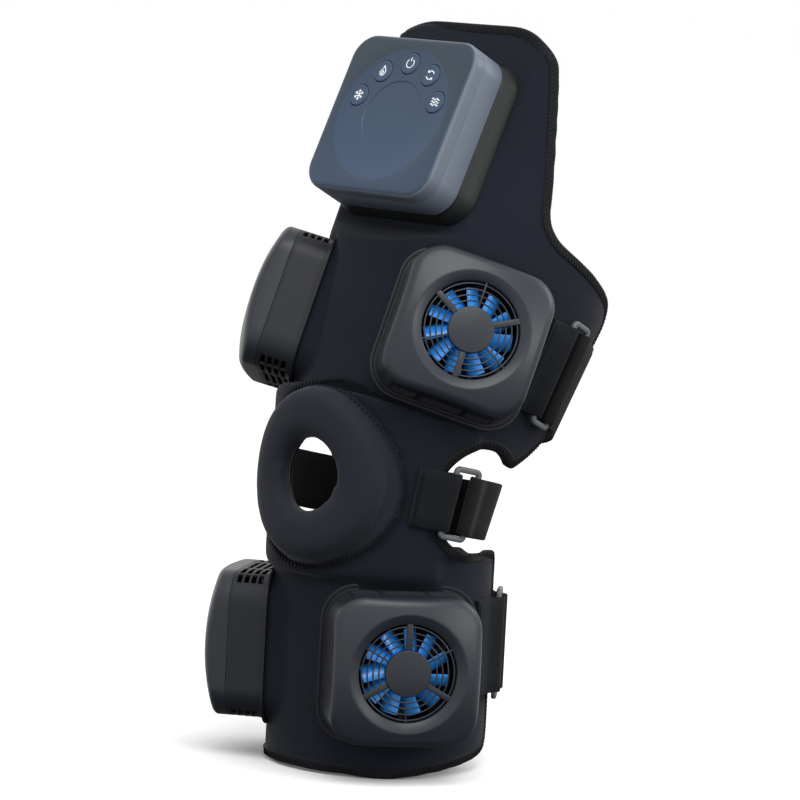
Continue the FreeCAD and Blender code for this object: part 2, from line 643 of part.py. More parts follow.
def seat_clearance(seat, inset):
    """The space outside a module's seat plane."""
    half = size("module_width") / 2 + size("seat_margin")
    space = Part.makeBox(2 * half, 2 * half, size("seat_clear"), Vector(-half, -half, -inset))
    space.Placement = seat
    return space


def unit_clearance(inset):
    """The space outside the tongue's flat front, with a ramp at its lower end."""
    half = size("thigh_radius")
    low = -size("unit_high") / 2 - size("dock_flare") - size("ramp_gap")
    high, ramp = size("form_reach"), size("thigh_radius")
    profile = [Vector(-half, low, -inset), Vector(-half, high, -inset),
               Vector(-half, high, ramp), Vector(-half, low - ramp, ramp)]
    face = Part.Face(Part.makePolygon(profile + profile[:1]))
    space = face.extrude(Vector(2 * half, 0, 0))
    space.Placement = unit_seat()
    return space


def seat_wedge(name, seat):
    """The filled patch of cloth under a module, from its seat plane inward."""
    half, deep = size("module_width") / 2, size("patch_depth")
    patch = Part.makeBox(2 * half, 2 * half, deep, Vector(-half, -half, -deep))
    upright = [edge for edge in patch.Edges if abs(edge.Length - deep) < 1e-6]
    patch = patch.makeFillet(size("module_corner"), upright)
    patch.Placement = seat
    return feature(name, patch)


def plate_window(name, seat):
    """The window that a cold plate passes through."""
    half = size("plate_width") / 2 + size("soft_gap")
    deep = size("seat_clear")
    hole = Part.makeBox(2 * half, 2 * half, 2 * deep, Vector(-half, -half, -deep))
    hole.Placement = seat
    return feature(name, hole)


def pad_frame(radius=0.0):
    """The patella pad's frame in the knee closure's frame; z points out of the knee."""
    return outward(size("knee_centre"), size("pad_turn"), radius, -size("pad_drop"))


def pad_bore(name, width, cuff):
    """A cylinder along the pad's axis, in the frame of a cuff."""
    bore = Part.makeCylinder(width / 2, size("form_reach"))
    bore.Placement = cuff_frame(cuff).inverse() * cuff_frame(KNEE) * pad_frame()
    return feature(name, bore)


def thigh_wrap(tag):
    """The thigh cuff: a flared tongue in front, side flaps, and module windows."""
    bottom, front, corner = size("thigh_bottom"), -size("form_reach"), size("flap_corner")
    outline = side_outline([
        (front, bottom, 0), (front, size("tongue_top"), 0),
        (size("tongue_edge"), size("tongue_top"), size("tongue_corner")),
        (size("waist_back"), size("waist_rise"), size("waist_corner")),
        (size("flap_rear"), size("flap_top"), corner),
        (size("flap_heel_back"), size("flap_heel_low"), corner),
        (size("flap_tip_back"), size("flap_tip_low"), size("tip_corner")),
        (size("flap_step"), size("flap_tip_low"), 0), (size("flap_step"), bottom, 0)])
    outer = [thigh_core(tag + "_outer", 0.0)]
    outer += [seat_wedge(tag + "_patch", module_seat(THIGH, side)) for side in (-1, 1)]
    inner = thigh_core(tag + "_inner", size("cloth"))
    shell = cut(tag + "_shell", fuse(tag + "_form", outer), inner)
    shell = common(tag + "_trim", shell, through(tag + "_side", outline))
    tools = [plate_window(tag + "_window", module_seat(THIGH, side)) for side in (-1, 1)]
    tools.append(pad_bore(tag + "_arch", size("pad_width") + 2 * size("arch_gap"), THIGH))
    bite = notch_rod(size("notch_high"))
    bite.Placement = cuff_frame(THIGH).inverse() * bite.Placement
    tools.append(feature(tag + "_notch", bite))
    return cut(tag, shell, fuse(tag + "_openings", tools))


def notch_rod(rise):
    """A rod through the leg along X that rounds the side notches at one height."""
    reach = 2 * size("knee_radius")
    return Part.makeCylinder(size("notch_radius"), 2 * reach,
                             Vector(-reach, size("notch_centre"), rise), Vector(1, 0, 0))


def beyond(y, z, up, frame=Placement()):
    """The space behind a y place and above, or below, a z place in a frame."""
    reach = 4 * size("knee_radius")
    corner = Vector(-reach / 2, y, z if up else z - reach)
    space = Part.makeBox(reach, reach, reach, corner)
    space.Placement = frame
    return space


def calf_core(name, inset):
    """The calf cuff's full round form, drawn in by an inset, with flats at the seats."""
    low, high = size("calf_bottom") - size("form_end"), size("calf_top") + size("form_end")
    base = Vector(0, size("calf_centre"), low)
    tube = Part.makeCylinder(size("calf_radius") - inset, high - low, base)
    for side in (-1, 1):
        tube = tube.cut(seat_clearance(module_seat(CALF, side), inset))
    return feature(name, tube)


def calf_wrap(tag):
    """The calf cuff, open at the back, with module windows."""
    front, rear, corner = -size("form_reach"), size("calf_rear"), size("calf_corner")
    outline = side_outline([
        (front, size("calf_hem_front"), 0), (front, size("calf_front_top"), 0),
        (size("calf_step"), size("calf_front_top"), 0),
        (size("calf_step"), size("calf_top"), corner / 2),
        (rear, size("calf_top"), corner / 2), (rear, size("calf_hem_rear"), corner),
        (size("calf_hem_back"), size("calf_hem_low"), size("calf_hem_corner"))])
    outer = [calf_core(tag + "_outer", 0.0)]
    outer += [seat_wedge(tag + "_patch", module_seat(CALF, side)) for side in (-1, 1)]
    inner = calf_core(tag + "_inner", size("cloth"))
    shell = cut(tag + "_shell", fuse(tag + "_form", outer), inner)
    shell = common(tag + "_trim", shell, through(tag + "_side", outline))
    tools = [plate_window(tag + "_window", module_seat(CALF, side)) for side in (-1, 1)]
    tools.append(pad_bore(tag + "_arch", size("pad_width") + 2 * size("arch_gap"), CALF))
    return cut(tag, shell, fuse(tag + "_openings", tools))


def knee_radius_at(rise):
    """The outer radius of the cloth round the knee, in the knee closure's frame."""
    slope = (size("knee_high_radius") - size("knee_low_radius")) / size("knee_span")
    return size("knee_radius") + slope * (rise + size("pad_drop"))


def knee_cone(inset, low, high):
    """The round form of the cloth over the knee, between two heights of its frame."""
    centre = Vector(0, size("knee_centre"), low)
    radii = knee_radius_at(low) + inset, knee_radius_at(high) + inset
    return Part.makeCone(*radii, high - low, centre)


def knee_panel(tag):
    """The supple panel over the knee, with the side notches and the patella hole."""
    reach, gap = size("knee_span"), size("soft_gap")
    panel = knee_cone(0.0, -reach, reach).cut(knee_cone(-size("cloth"), -reach, reach))
    panel.Placement = cuff_frame(KNEE)
    hole = Part.makeCylinder(size("pad_hole") / 2, 2 * reach)
    hole.Placement = cuff_frame(KNEE) * pad_frame()
    thigh = cuff_frame(THIGH)
    front = -2 * size("knee_radius")
    spaces = [beyond(front, size("thigh_bottom") - gap, True, thigh),
              beyond(size("flap_step") - gap, size("flap_tip_low") - gap, True, thigh),
              beyond(front, size("calf_front_top") + gap, False),
              beyond(size("calf_step") - gap, size("calf_top") + gap, False),
              beyond(size("notch_centre"), -reach, True)]
    notch = [notch_rod(size("notch_high")), notch_rod(size("notch_low"))]
    return feature(tag, panel.cut(spaces + notch + [hole]))


def patella_pad(tag):
    """The padded ring round the kneecap, bent with the knee's curve."""
    reach, gap = size("knee_span"), size("soft_gap")
    tube = knee_cone(gap + size("pad_thick"), -reach, reach).cut(knee_cone(gap, -reach, reach))
    disc = Part.makeCylinder(size("pad_width") / 2, 2 * reach)
    disc = disc.cut(Part.makeCylinder(size("pad_hole") / 2, 2 * reach))
    disc.Placement = pad_frame()
    return feature(tag, tube.common(disc))


# ---------------------------------------------------------------- ring-and-strap closures
class Closure:
    """The sizes of one ring-and-strap closure, and the cloth's form under it."""

    def __init__(self, cuff):
        self.cuff = cuff
        self.ring = size(cuff + "_ring")
        self.turn = size(cuff + "_ring_turn")
        self.tab = size(cuff + "_tab")
        self.anchor = size(cuff + "_anchor_turn")
        self.centre = size(cuff + "_centre")
        self.rise = size("thigh_ring_rise") if cuff == THIGH else -size(cuff + "_ring_drop")
        radius_at = {THIGH: thigh_radius_at, KNEE: knee_radius_at,
                     CALF: lambda rise: size("calf_radius")}[cuff]
        self.radius = radius_at(self.rise)
        self.slope = radius_at(self.rise + 1) - self.radius
        self.round = (0.0, self.centre, self.radius)
        self.high = self.ring - 2 * size("ring_bar") - 2 * size("slot_play")

    def turn_at(self, place):
        """The turn about the cuff's axis at an x place in the ring's frame."""
        return self.turn + degrees(place / (self.radius + ring_stand()))

    def seat(self):
        """The ring's frame in its cuff: x round the leg, y along the bars, z out."""
        return outward(self.centre, self.turn, self.radius + ring_stand(), self.rise,
                       -degrees(atan(self.slope)))

    def bend(self, side):
        """The place and radius of the strap's bend behind one side, or the cuff's own round."""
        if self.cuff != KNEE:
            return self.round
        turn = radians(self.turn_at(bar_places()[1]))
        reach = self.radius - size("knee_bend")
        return side * reach * sin(turn), self.centre - reach * cos(turn), size("knee_bend")

    def cone(self, lift, high, form=None):
        """A solid with the cloth's form, or a bend's, lifted off it, at the ring's height."""
        x, y, radius = form or self.round
        middle, growth = radius + lift, self.slope * high / 2
        base = Vector(x, y, self.rise - high / 2)
        if growth:
            return Part.makeCone(middle - growth, middle + growth, high, base)
        return Part.makeCylinder(middle, high, base)


def ring_stand():
    """How far the ring's middle stands off the cloth, to clear the strap's fold."""
    return loop_bore("strap_play") + size("webbing") + size("soft_gap")


def loop_bore(play):
    """The inner radius of a fold of webbing round a bar, with some play."""
    return hypot(size("ring_thick"), size("ring_bar")) / 2 + size(play)


def bar_places():
    """The x places of the tab bar and the strap bar in a ring."""
    half = (size("ring_width") - size("ring_bar")) / 2
    return -half, half


def strap_ring(tag, closure):
    """A moulded rectangular ring with rounded corners."""
    wide, thick, bar = size("ring_width"), size("ring_thick"), size("ring_bar")
    long = closure.ring
    outer = Part.makeBox(wide, long, thick, Vector(-wide / 2, -long / 2, -thick / 2))
    outer = outer.makeFillet(bar, [edge for edge in outer.Edges if abs(edge.Length - thick) < 1e-6])
    slot = Part.makeBox(wide - 2 * bar, long - 2 * bar, 2 * thick,
                        Vector(bar - wide / 2, bar - long / 2, -thick))
    return feature(tag, outer.cut(slot))


def band(closure, start, finish, lift=0.0, form=None):
    """A strip of webbing between two turns about the cuff's axis, or about a bend's."""
    gap, (x, y, _) = size("soft_gap") + lift, form or closure.round
    strip = closure.cone(gap + size("webbing"), closure.high, form)
    strip = strip.cut(closure.cone(gap, closure.high, form))
    sector = Part.makeCylinder(2 * closure.radius, 2 * closure.high, Vector(0, 0, -closure.high),
                               Vector(0, 0, 1), finish - start)
    sector.Placement = Placement(Vector(x, y, closure.rise),
                                 Rotation(Vector(0, 0, 1), start - 90))
    return strip.common(sector)


def flat_run(closure):
    """The strap's flat run between its two bends behind the knee."""
    half, y, radius = closure.bend(1)
    near = y + radius + size("soft_gap")
    low, high = closure.rise - closure.high / 2, closure.rise + closure.high / 2
    shift = Vector(0, closure.slope * closure.high / 2, 0)
    low_edge = [Vector(-half, near, low) - shift, Vector(-half, near + size("webbing"), low) - shift]
    high_edge = [Vector(-half, near + size("webbing"), high) + shift, Vector(-half, near, high) + shift]
    corners = low_edge + high_edge
    return Part.Face(Part.makePolygon(corners + corners[:1])).extrude(Vector(2 * half, 0, 0))


def fold(closure, place, bore):
    """The fold of webbing round one bar of the ring, footed on the strip under it."""
    high, outer = closure.high, bore + size("webbing")
    drop = ring_stand() - size("soft_gap")
    start, along = Vector(place, -high / 2, 0), Vector(0, 1, 0)
    roll = Part.makeCylinder(outer, high, start, along)
    corner = Vector(place if place > 0 else place - outer, -high / 2, -drop)
    foot = Part.makeBox(outer, high, drop, corner)
    hollow = Part.makeCylinder(bore, high, start, along)
    piece = roll.fuse(foot).cut(hollow)
    piece.Placement = closure.seat()
    return piece.cut(closure.cone(size("soft_gap"), 2 * high))


def ring_tab(tag, closure):
    """The stub sewn to the cuff that holds the ring by a fold round its front bar."""
    place = bar_places()[0]
    fold_turn = closure.turn_at(place)
    strip = band(closure, fold_turn - closure.tab, fold_turn)
    return feature(tag, strip.fuse(fold(closure, place, loop_bore("bar_gap"))).removeSplitter())


def back_strap(tag, closure):
    """The strap behind the leg: sewn to the inner side, folded through the ring's back bar.

    It follows the cuff's round on the thigh and calf; behind the knee it lies flat.
    """
    place = bar_places()[1]
    start, finish = closure.turn_at(place), 360 - closure.anchor + size("strap_anchor") / 2
    if closure.cuff == KNEE:
        runs = [band(closure, start, 180, form=closure.bend(1)), flat_run(closure),
                band(closure, 180, 360 - start, form=closure.bend(-1)),
                band(closure, 360 - start, finish)]
    else:
        runs = [band(closure, start, finish)]
    form = closure.bend(1)
    tail = size("strap_tail") * closure.radius / form[2]
    runs.append(band(closure, start + tail / 4, start + tail,
                     size("webbing") + size("tail_gap"), form))
    roll = fold(closure, place, loop_bore("strap_play"))
    return feature(tag, roll.fuse(runs).removeSplitter())


# ---------------------------------------------------------------- assembly
def settle(item, frame):
    """Moves a finished piece from its own frame into the leg's frame."""
    item.Placement = frame * item.Placement
    return item


def build_module(cuff, side):
    """One thermal module's rigid pieces, as named nodes in the leg's frame."""
    label = "%s_%s" % (cuff, "outer" if side > 0 else "inner")
    frame = cuff_frame(cuff) * module_seat(cuff, side)
    makers = {"module_cover": module_cover, "module_housing": module_housing,
              "fan_frame": fan_frame, "fan_rotor": fan_rotor, "heat_sink": heat_sink,
              "peltier_tile": peltier_tile, "cold_plate": cold_plate,
              "vibration_motor": buzz_motor}
    nodes = {}
    for name, maker in makers.items():
        node = "%s_%s" % (label, name)
        nodes[node] = settle(maker(node), frame)
    return nodes


BUTTON_NAMES = ["button_cold", "button_heat", "button_power", "button_contrast",
                "button_vibration"]


def build_unit():
    """The control unit's pieces."""
    frame = cuff_frame(THIGH) * unit_seat()
    makers = {"control_dock": unit_dock, "control_rear_shell": unit_back,
              "control_front_shell": unit_front, "circuit_board": circuit_board,
              "battery_cells": battery_cells, "charge_port": charge_port}
    nodes = {name: settle(maker(name), frame) for name, maker in makers.items()}
    for name, (x, y) in zip(BUTTON_NAMES, arc_spots()):
        nodes[name] = settle(control_button(name, x, y), frame)
    return nodes


def build_cloth():
    """The soft sleeve and its closures."""
    nodes = {"thigh_wrap": settle(thigh_wrap("thigh_wrap"), cuff_frame(THIGH)),
             "calf_wrap": settle(calf_wrap("calf_wrap"), cuff_frame(CALF)),
             "knee_panel": knee_panel("knee_panel"),
             "patella_pad": settle(patella_pad("patella_pad"), cuff_frame(KNEE))}
    for cuff in (THIGH, KNEE, CALF):
        frame, closure = cuff_frame(cuff), Closure(cuff)
        ring = strap_ring(cuff + "_ring", closure)
        nodes[cuff + "_ring"] = settle(ring, frame * closure.seat())
        nodes[cuff + "_ring_tab"] = settle(ring_tab(cuff + "_ring_tab", closure), frame)
        nodes[cuff + "_strap"] = settle(back_strap(cuff + "_strap", closure), frame)
    return nodes


def check_document():
    """Stops at any feature that failed to compute."""
    doc.recompute()
    for item in doc.Objects:
        if "Invalid" in item.State or "Error" in item.State:
            raise RuntimeError("%s did not compute: %s" % (item.Name, item.State))


def write_parts(nodes):
    """Labels each node, checks its shape and writes its STEP file."""
    for name, item in nodes.items():
        item.Label = name
        if item.Shape.isNull() or not item.Shape.isValid():
            raise RuntimeError("%s has no valid shape" % name)
    os.makedirs("parts", exist_ok=True)
    for name, item in nodes.items():
        item.Shape.exportStep("parts/%s.step" % name)
    print("%d nodes written" % len(nodes))


def main():
    fill_sheet()
    nodes = {}
    for cuff in (THIGH, CALF):
        for side in (-1, 1):
            nodes.update(build_module(cuff, side))
    nodes.update(build_unit())
    nodes.update(build_cloth())
    check_document()
    write_parts(nodes)


main()
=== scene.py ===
import math

import bmesh
import bpy
from mathutils import Matrix, Vector
from mathutils.bvhtree import BVHTree
from mathutils.kdtree import KDTree


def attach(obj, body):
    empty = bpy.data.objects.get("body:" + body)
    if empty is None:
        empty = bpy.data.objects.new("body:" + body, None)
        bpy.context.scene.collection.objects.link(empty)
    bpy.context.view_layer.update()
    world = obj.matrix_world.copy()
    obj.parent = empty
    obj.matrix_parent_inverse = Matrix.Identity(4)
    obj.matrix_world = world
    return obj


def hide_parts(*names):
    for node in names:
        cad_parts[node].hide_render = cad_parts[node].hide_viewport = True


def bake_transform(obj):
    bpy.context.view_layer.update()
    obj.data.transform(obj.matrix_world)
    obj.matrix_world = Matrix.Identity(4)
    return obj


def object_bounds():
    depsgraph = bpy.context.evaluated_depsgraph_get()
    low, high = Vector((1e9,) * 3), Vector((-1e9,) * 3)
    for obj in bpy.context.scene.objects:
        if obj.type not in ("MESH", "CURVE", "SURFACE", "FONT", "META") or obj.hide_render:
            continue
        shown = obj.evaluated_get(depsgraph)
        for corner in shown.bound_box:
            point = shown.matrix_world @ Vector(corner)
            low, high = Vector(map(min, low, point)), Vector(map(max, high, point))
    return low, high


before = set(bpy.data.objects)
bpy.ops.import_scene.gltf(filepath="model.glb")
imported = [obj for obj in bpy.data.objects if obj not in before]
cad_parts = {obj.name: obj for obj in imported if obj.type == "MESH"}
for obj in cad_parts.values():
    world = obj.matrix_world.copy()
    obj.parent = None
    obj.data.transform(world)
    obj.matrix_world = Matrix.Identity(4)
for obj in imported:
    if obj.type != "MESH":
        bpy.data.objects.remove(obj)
cad_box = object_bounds()
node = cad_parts
MM = 0.001

# -------- camera
# A long lens far off, a little above the knee and half way round to the outer side, so
# the wrap keeps nearly parallel edges. The camera is rolled slightly.
azimuth, elevation, roll = (math.radians(angle) for angle in (45.4, 6.7, 3.0))
distance, focal_pixels, frame_pixels = 2.921, 4785.0, 800.0
knee_right, knee_down = 3.0, 84.3
back = Vector((math.sin(azimuth) * math.cos(elevation),
               -math.cos(azimuth) * math.cos(elevation), math.sin(elevation)))
level = Vector((math.cos(azimuth), math.sin(azimuth), 0))
upright = back.cross(level)
right = level * math.cos(roll) + upright * math.sin(roll)
up = upright * math.cos(roll) - level * math.sin(roll)
ahead = (-back * focal_pixels - right * knee_right + up * knee_down).normalized()
right = (right - ahead * right.dot(ahead)).normalized()
up = right.cross(ahead)
bpy.ops.object.camera_add(location=back * distance)
camera = bpy.context.object
camera.rotation_mode = "QUATERNION"
camera.rotation_quaternion = Matrix((right, up, -ahead)).transposed().to_quaternion()
camera.data.sensor_width = 36.0
camera.data.lens = focal_pixels / frame_pixels * camera.data.sensor_width
camera.data.clip_end = 50.0
bpy.context.scene.camera = camera

# -------- floor and light
# A white matt floor under the calf's hem and a white surround that is dark below, so the
# undersides stay dark; soft boxes above, beside and behind draw the plastic's light edges.


def linear(code):
    """A linear colour, with alpha, from an sRGB hex value."""
    parts = [int(code[i:i + 2], 16) / 255 for i in (1, 3, 5)]
    return [c / 12.92 if c <= 0.04045 else ((c + 0.055) / 1.055) ** 2.4 for c in parts] + [1.0]


def add_node(tree, kind, links=None, **settings):
    """Adds a node; settings are its properties and sockets, links its fed sockets."""
    made = tree.nodes.new("ShaderNode" + kind)
    for name, value in settings.items():
        if name[0].islower():
            setattr(made, name, value)
        else:
            made.inputs[name.replace("_", " ")].default_value = value
    for name, source in (links or {}).items():
        tree.links.new(source, made.inputs[name])
    return made


def spot_in(tree, kind="Object"):
    """A surface point's place, in one of the texture coordinates."""
    return add_node(tree, "TexCoord").outputs[kind]


def finish_of(name, colour, roughness, shine=0.5, sheen=(0, 0.5), coat=0):
    """A new material, its tree and its shader; sheen is its weight and its roughness."""
    made = bpy.data.materials.new(name)
    made.use_nodes = True
    skin = made.node_tree.nodes["Principled BSDF"]
    for socket, value in (("Base Color", linear(colour)), ("Roughness", roughness),
                          ("Specular IOR Level", shine), ("Sheen Weight", sheen[0]),
                          ("Sheen Roughness", sheen[1]), ("Coat Weight", coat)):
        skin.inputs[socket].default_value = value
    return made, made.node_tree, skin


floor_level = cad_box[0].z - 0.4 * MM
bpy.ops.mesh.primitive_plane_add(size=40, location=(0, 0, floor_level))
floor = bpy.context.object
floor.name = "floor"
painted, _, _ = finish_of("painted_floor", "#FFFFFF", 0.9, shine=0.1)
floor.data.materials.append(painted)
floor.visible_diffuse = floor.visible_glossy = False

world = bpy.data.worlds.new("studio")
world.use_nodes = True
surround = world.node_tree.nodes["Background"]
surround.inputs["Color"].default_value = linear("#FFFFFF")
facing = spot_in(world.node_tree, "Generated")
height = add_node(world.node_tree, "SeparateXYZ", {"Vector": facing})
glow = add_node(world.node_tree, "MapRange", {"Value": height.outputs["Z"]}, From_Min=-0.45,
                From_Max=-0.15, To_Min=0.1, To_Max=1.0)
world.node_tree.links.new(glow.outputs["Result"], surround.inputs["Strength"])
bpy.context.scene.world = world
soft_boxes = [("key_light", (1.0, -0.7, 1.7), 1.3, 24.0), ("side_light", (1.8, 0.3, 0.5), 0.6, 6.0),
              ("rim_light", (0.9, 1.2, 0.9), 0.6, 6.0)]
for name, place, width, power in soft_boxes:
    bpy.ops.object.light_add(type="AREA", location=place)
    lamp = bpy.context.object
    lamp.name = name
    lamp.data.shape, lamp.data.size, lamp.data.energy = "SQUARE", width, power
    aim = Vector((0, 0, 0.05)) - Vector(place)
    lamp.rotation_mode = "QUATERNION"
    lamp.rotation_quaternion = aim.to_track_quat("-Z", "Y")
bpy.context.scene.view_settings.view_transform = "Standard"

# -------- module covers
# Four alike front shells of the thermal modules: moulded ABS with a fine satin grain, a
# domed face with soft edges, a dished ring round the fan and a grille moulded in one.


def turned(axis, angle):
    return Matrix.Rotation(math.radians(angle), 4, axis)


def outward(centre, turn, out, rise, tip=0.0):
    """A frame on a cuff, in metres: x round the leg, y up it and z away from it."""
    facing = turned("Z", turn) @ turned("X", 90)
    place = facing @ Vector((0, 0, out)) + Vector((0, centre, rise))
    return Matrix.Translation(place * MM) @ facing @ turned("X", -tip)


lean = {"thigh": turned("X", -22.5), "knee": turned("X", -11.25), "calf": Matrix.Identity(4)}
seats = {}
for side, way in (("outer", 1), ("inner", -1)):
    seats["thigh_" + side] = lean["thigh"] @ outward(-6.0, 52.0 * way, 78.4, 81.3) @ turned("Z", 180)
    seats["calf_" + side] = outward(-13.0, 56.0 * way, 62.0, -100.0)


def emboss(tree, skin, height, strength, deep):
    """Raises a material's surface by a texture, by up to deep mm."""
    bump = add_node(tree, "Bump", {"Height": height}, Strength=strength, Distance=deep * MM)
    tree.links.new(bump.outputs["Normal"], skin.inputs["Normal"])


def tint(tree, skin, share, low, high):
    """Colours a material from a low to a high colour by a share from 0 to 1."""
    shade = add_node(tree, "ValToRGB", {"Fac": share})
    for element, colour in zip(shade.color_ramp.elements, (low, high)):
        element.color = linear(colour)
    tree.links.new(shade.outputs["Color"], skin.inputs["Base Color"])


def speckle(tree, scale, detail=2):
    """A noise over the object's own coordinates."""
    return add_node(tree, "TexNoise", {"Vector": spot_in(tree)}, Scale=scale,
                    Detail=detail).outputs["Fac"]


def textured(name, colour, roughness, grain=None, cloud=None, ribs=None, **look):
    """A material. Grain is a noise's scale and detail, a strength and a depth in mm. Cloud is
    a noise's scale and detail and two colours. Ribs are coordinates, a way and a wave."""
    made, tree, skin = finish_of(name, colour, roughness, **look)
    if grain:
        height = speckle(tree, *grain[:2])
        if ribs:
            kind, way, wave = ribs
            wave = add_node(tree, "TexWave", {"Vector": spot_in(tree, kind)},
                            bands_direction=way, **wave)
            both = {0: wave.outputs["Fac"], 1: height}
            height = add_node(tree, "Math", both, operation="ADD").outputs["Value"]
        emboss(tree, skin, height, *grain[2:])
    if cloud:
        tint(tree, skin, speckle(tree, *cloud[:2]), *cloud[2:])
    return made


def choose(*pieces):
    """Leaves edit mode, selects these objects alone and makes the first of them active."""
    if bpy.context.object and bpy.context.object.mode != "OBJECT":
        bpy.ops.object.mode_set(mode="OBJECT")
    bpy.ops.object.select_all(action="DESELECT")
    for piece in pieces:
        piece.select_set(True)
    bpy.context.view_layer.objects.active = pieces[0]
    return pieces[0]


def join(pieces):
    """Joins pieces into the first of them."""
    choose(*pieces)
    if len(pieces) > 1:
        bpy.ops.object.join()
    return pieces[0]


def edit_all():
    """Opens the active object in edit mode with the whole mesh selected."""
    bpy.ops.object.mode_set(mode="EDIT")
    bpy.ops.mesh.select_all(action="SELECT")


def turn_out():
    """Turns every face of the edited mesh outwards and leaves edit mode."""
    bpy.ops.mesh.select_all(action="SELECT")
    bpy.ops.mesh.normals_make_consistent(inside=False)
    bpy.ops.object.mode_set(mode="OBJECT")


def smooth_shade(sharp=32):
    """Shades the active object smooth, but for edges sharper than an angle."""
    bpy.ops.object.shade_smooth_by_angle(angle=math.radians(sharp))


def pick(kind, test):
    """In edit mode, selects the VERT, EDGE or FACE items whose centre passes a test."""
    bpy.ops.mesh.select_mode(type=kind)
    bpy.ops.mesh.select_all(action="DESELECT")
    mesh = bmesh.from_edit_mesh(bpy.context.object.data)
    items, centre = {"VERT": (mesh.verts, lambda item: item.co),
                     "EDGE": (mesh.edges, lambda item: (item.verts[0].co + item.verts[1].co) / 2),
                     "FACE": (mesh.faces, lambda item: item.calc_center_median())}[kind]
    for item in items:
        if test(centre(item)):
            item.select_set(True)
    mesh.select_flush_mode()
    bmesh.update_edit_mesh(bpy.context.object.data)


def grow(rise=0.0, spread=1.0):
    """Extrudes what is selected, moves it along Z and scales it about that axis."""
    bpy.ops.mesh.extrude_region_move(TRANSFORM_OT_translate={"value": (0, 0, rise)})
    bpy.ops.transform.resize(value=(spread, spread, 1), center_override=(0, 0, 0))


def square_outline(name, width, depth, corner, level):
    """A rounded square's outline, open in edit mode: 16 edges a side and 16 a corner."""
    bpy.ops.mesh.primitive_plane_add(size=1, location=(0, 0, level))
    outline = bpy.context.object
    outline.name = name
    outline.scale = (width, depth, 1)
    bpy.ops.object.transform_apply(location=True, scale=True)
    bpy.ops.object.mode_set(mode="EDIT")
    bpy.ops.mesh.delete(type="ONLY_FACE")
    bpy.ops.mesh.select_all(action="SELECT")
    bpy.ops.mesh.bevel(offset=corner, segments=16, affect="VERTICES")
    pick("EDGE", lambda p: abs(p.x) < 1e-6 or abs(p.y) < 1e-6)
    bpy.ops.mesh.subdivide(number_cuts=15)
    bpy.ops.mesh.select_all(action="SELECT")
    return outline


def square_wall(name, width, depth, corner, low, high, soften=0.0):
    """A rounded square's wall with a face on its far end, whose edge is softened."""
    piece = square_outline(name, width, depth, corner, low)
    grow(high - low)
    bpy.ops.mesh.edge_face_add()
    bpy.ops.mesh.select_all(action="SELECT")
    bpy.ops.mesh.normals_make_consistent(inside=False)
    pick("EDGE", lambda p: abs(p.z - high) < 1e-6)
    if soften:
        bpy.ops.mesh.bevel(offset=soften, segments=6)
    return piece


def open_circle(radius, top, cuts):
    """Swaps the flat end face for a ring of faces round a circle."""
    pick("FACE", lambda p: abs(p.z - top) < 1e-6)
    bpy.ops.mesh.delete(type="ONLY_FACE")
    bpy.ops.mesh.primitive_circle_add(vertices=128, radius=radius, location=(0, 0, top))
    pick("VERT", lambda p: abs(p.z - top) < 1e-6)
    bpy.ops.mesh.bridge_edge_loops(number_cuts=cuts, interpolation="LINEAR")
    pick("EDGE", lambda p: in_ring(p, radius))


def button(radius, sides, foot, soften, segments):
    """A disc 2.9 mm high with a softened edge on top, open in edit mode."""
    bpy.ops.mesh.primitive_circle_add(vertices=sides, radius=radius, fill_type="NGON",
                                      location=(0, 0, foot))
    bpy.ops.object.transform_apply(location=True)
    edit_all()
    grow(2.9 * MM)
    bpy.ops.mesh.bevel(offset=soften, segments=segments)
    return bpy.context.object


def in_ring(p, radius):
    return abs(math.hypot(p.x, p.y) - radius) < 0.1 * MM


def settle(piece, seat):
    """Puts a finished mesh in its place and leaves its object at the origin."""
    piece.data.transform(seat)
    return piece


def apply_modifiers(piece):
    choose(piece)
    for modifier in list(piece.modifiers):
        bpy.ops.object.modifier_apply(modifier=modifier.name)


def new_piece(name, data):
    """A new object, selected and active, of a mesh or a curve."""
    made = bpy.data.objects.new(name, data)
    bpy.context.scene.collection.objects.link(made)
    return choose(made)


def walled(piece, thick, soften=0.0, sharp=30):
    """Turns a shell's faces out and adds modifiers: a wall inwards and softened edges."""
    turn_out()
    wall = piece.modifiers.new("wall", "SOLIDIFY")
    wall.thickness, wall.offset = thick, -1
    if soften:
        edge = piece.modifiers.new("edge", "BEVEL")
        edge.width, edge.segments, edge.limit_method = soften, 2, "ANGLE"
        edge.angle_limit = math.radians(sharp)


def paint(piece, *materials):
    """Gives a piece new materials and keeps its mesh."""
    piece.data.materials.clear()
    for material in materials:
        piece.data.materials.append(material)


def to_modules(shell, part):
    """Puts a copy of a shell on each module, in the place of its CAD node."""
    for place, seat in seats.items():
        piece = settle(new_piece(place + "_" + part, shell.data.copy()), seat)
        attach(piece, place.split("_")[0] + "_cuff")
        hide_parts(place + "_module_" + part)
    bpy.data.objects.remove(shell)


module_width, module_corner = 89.0 * MM, 19.0 * MM
parting, dome_radius = 23.0 * MM, 130.0 * MM
dome_centre = 36.0 * MM - math.sqrt(dome_radius ** 2 - (module_width / 2) ** 2)
dish_radius, vent_radius, cap_radius = 35.5 * MM, 29.5 * MM, 14.0 * MM


def dome_level(x, y):
    return dome_centre + math.sqrt(dome_radius ** 2 - x * x - y * y)


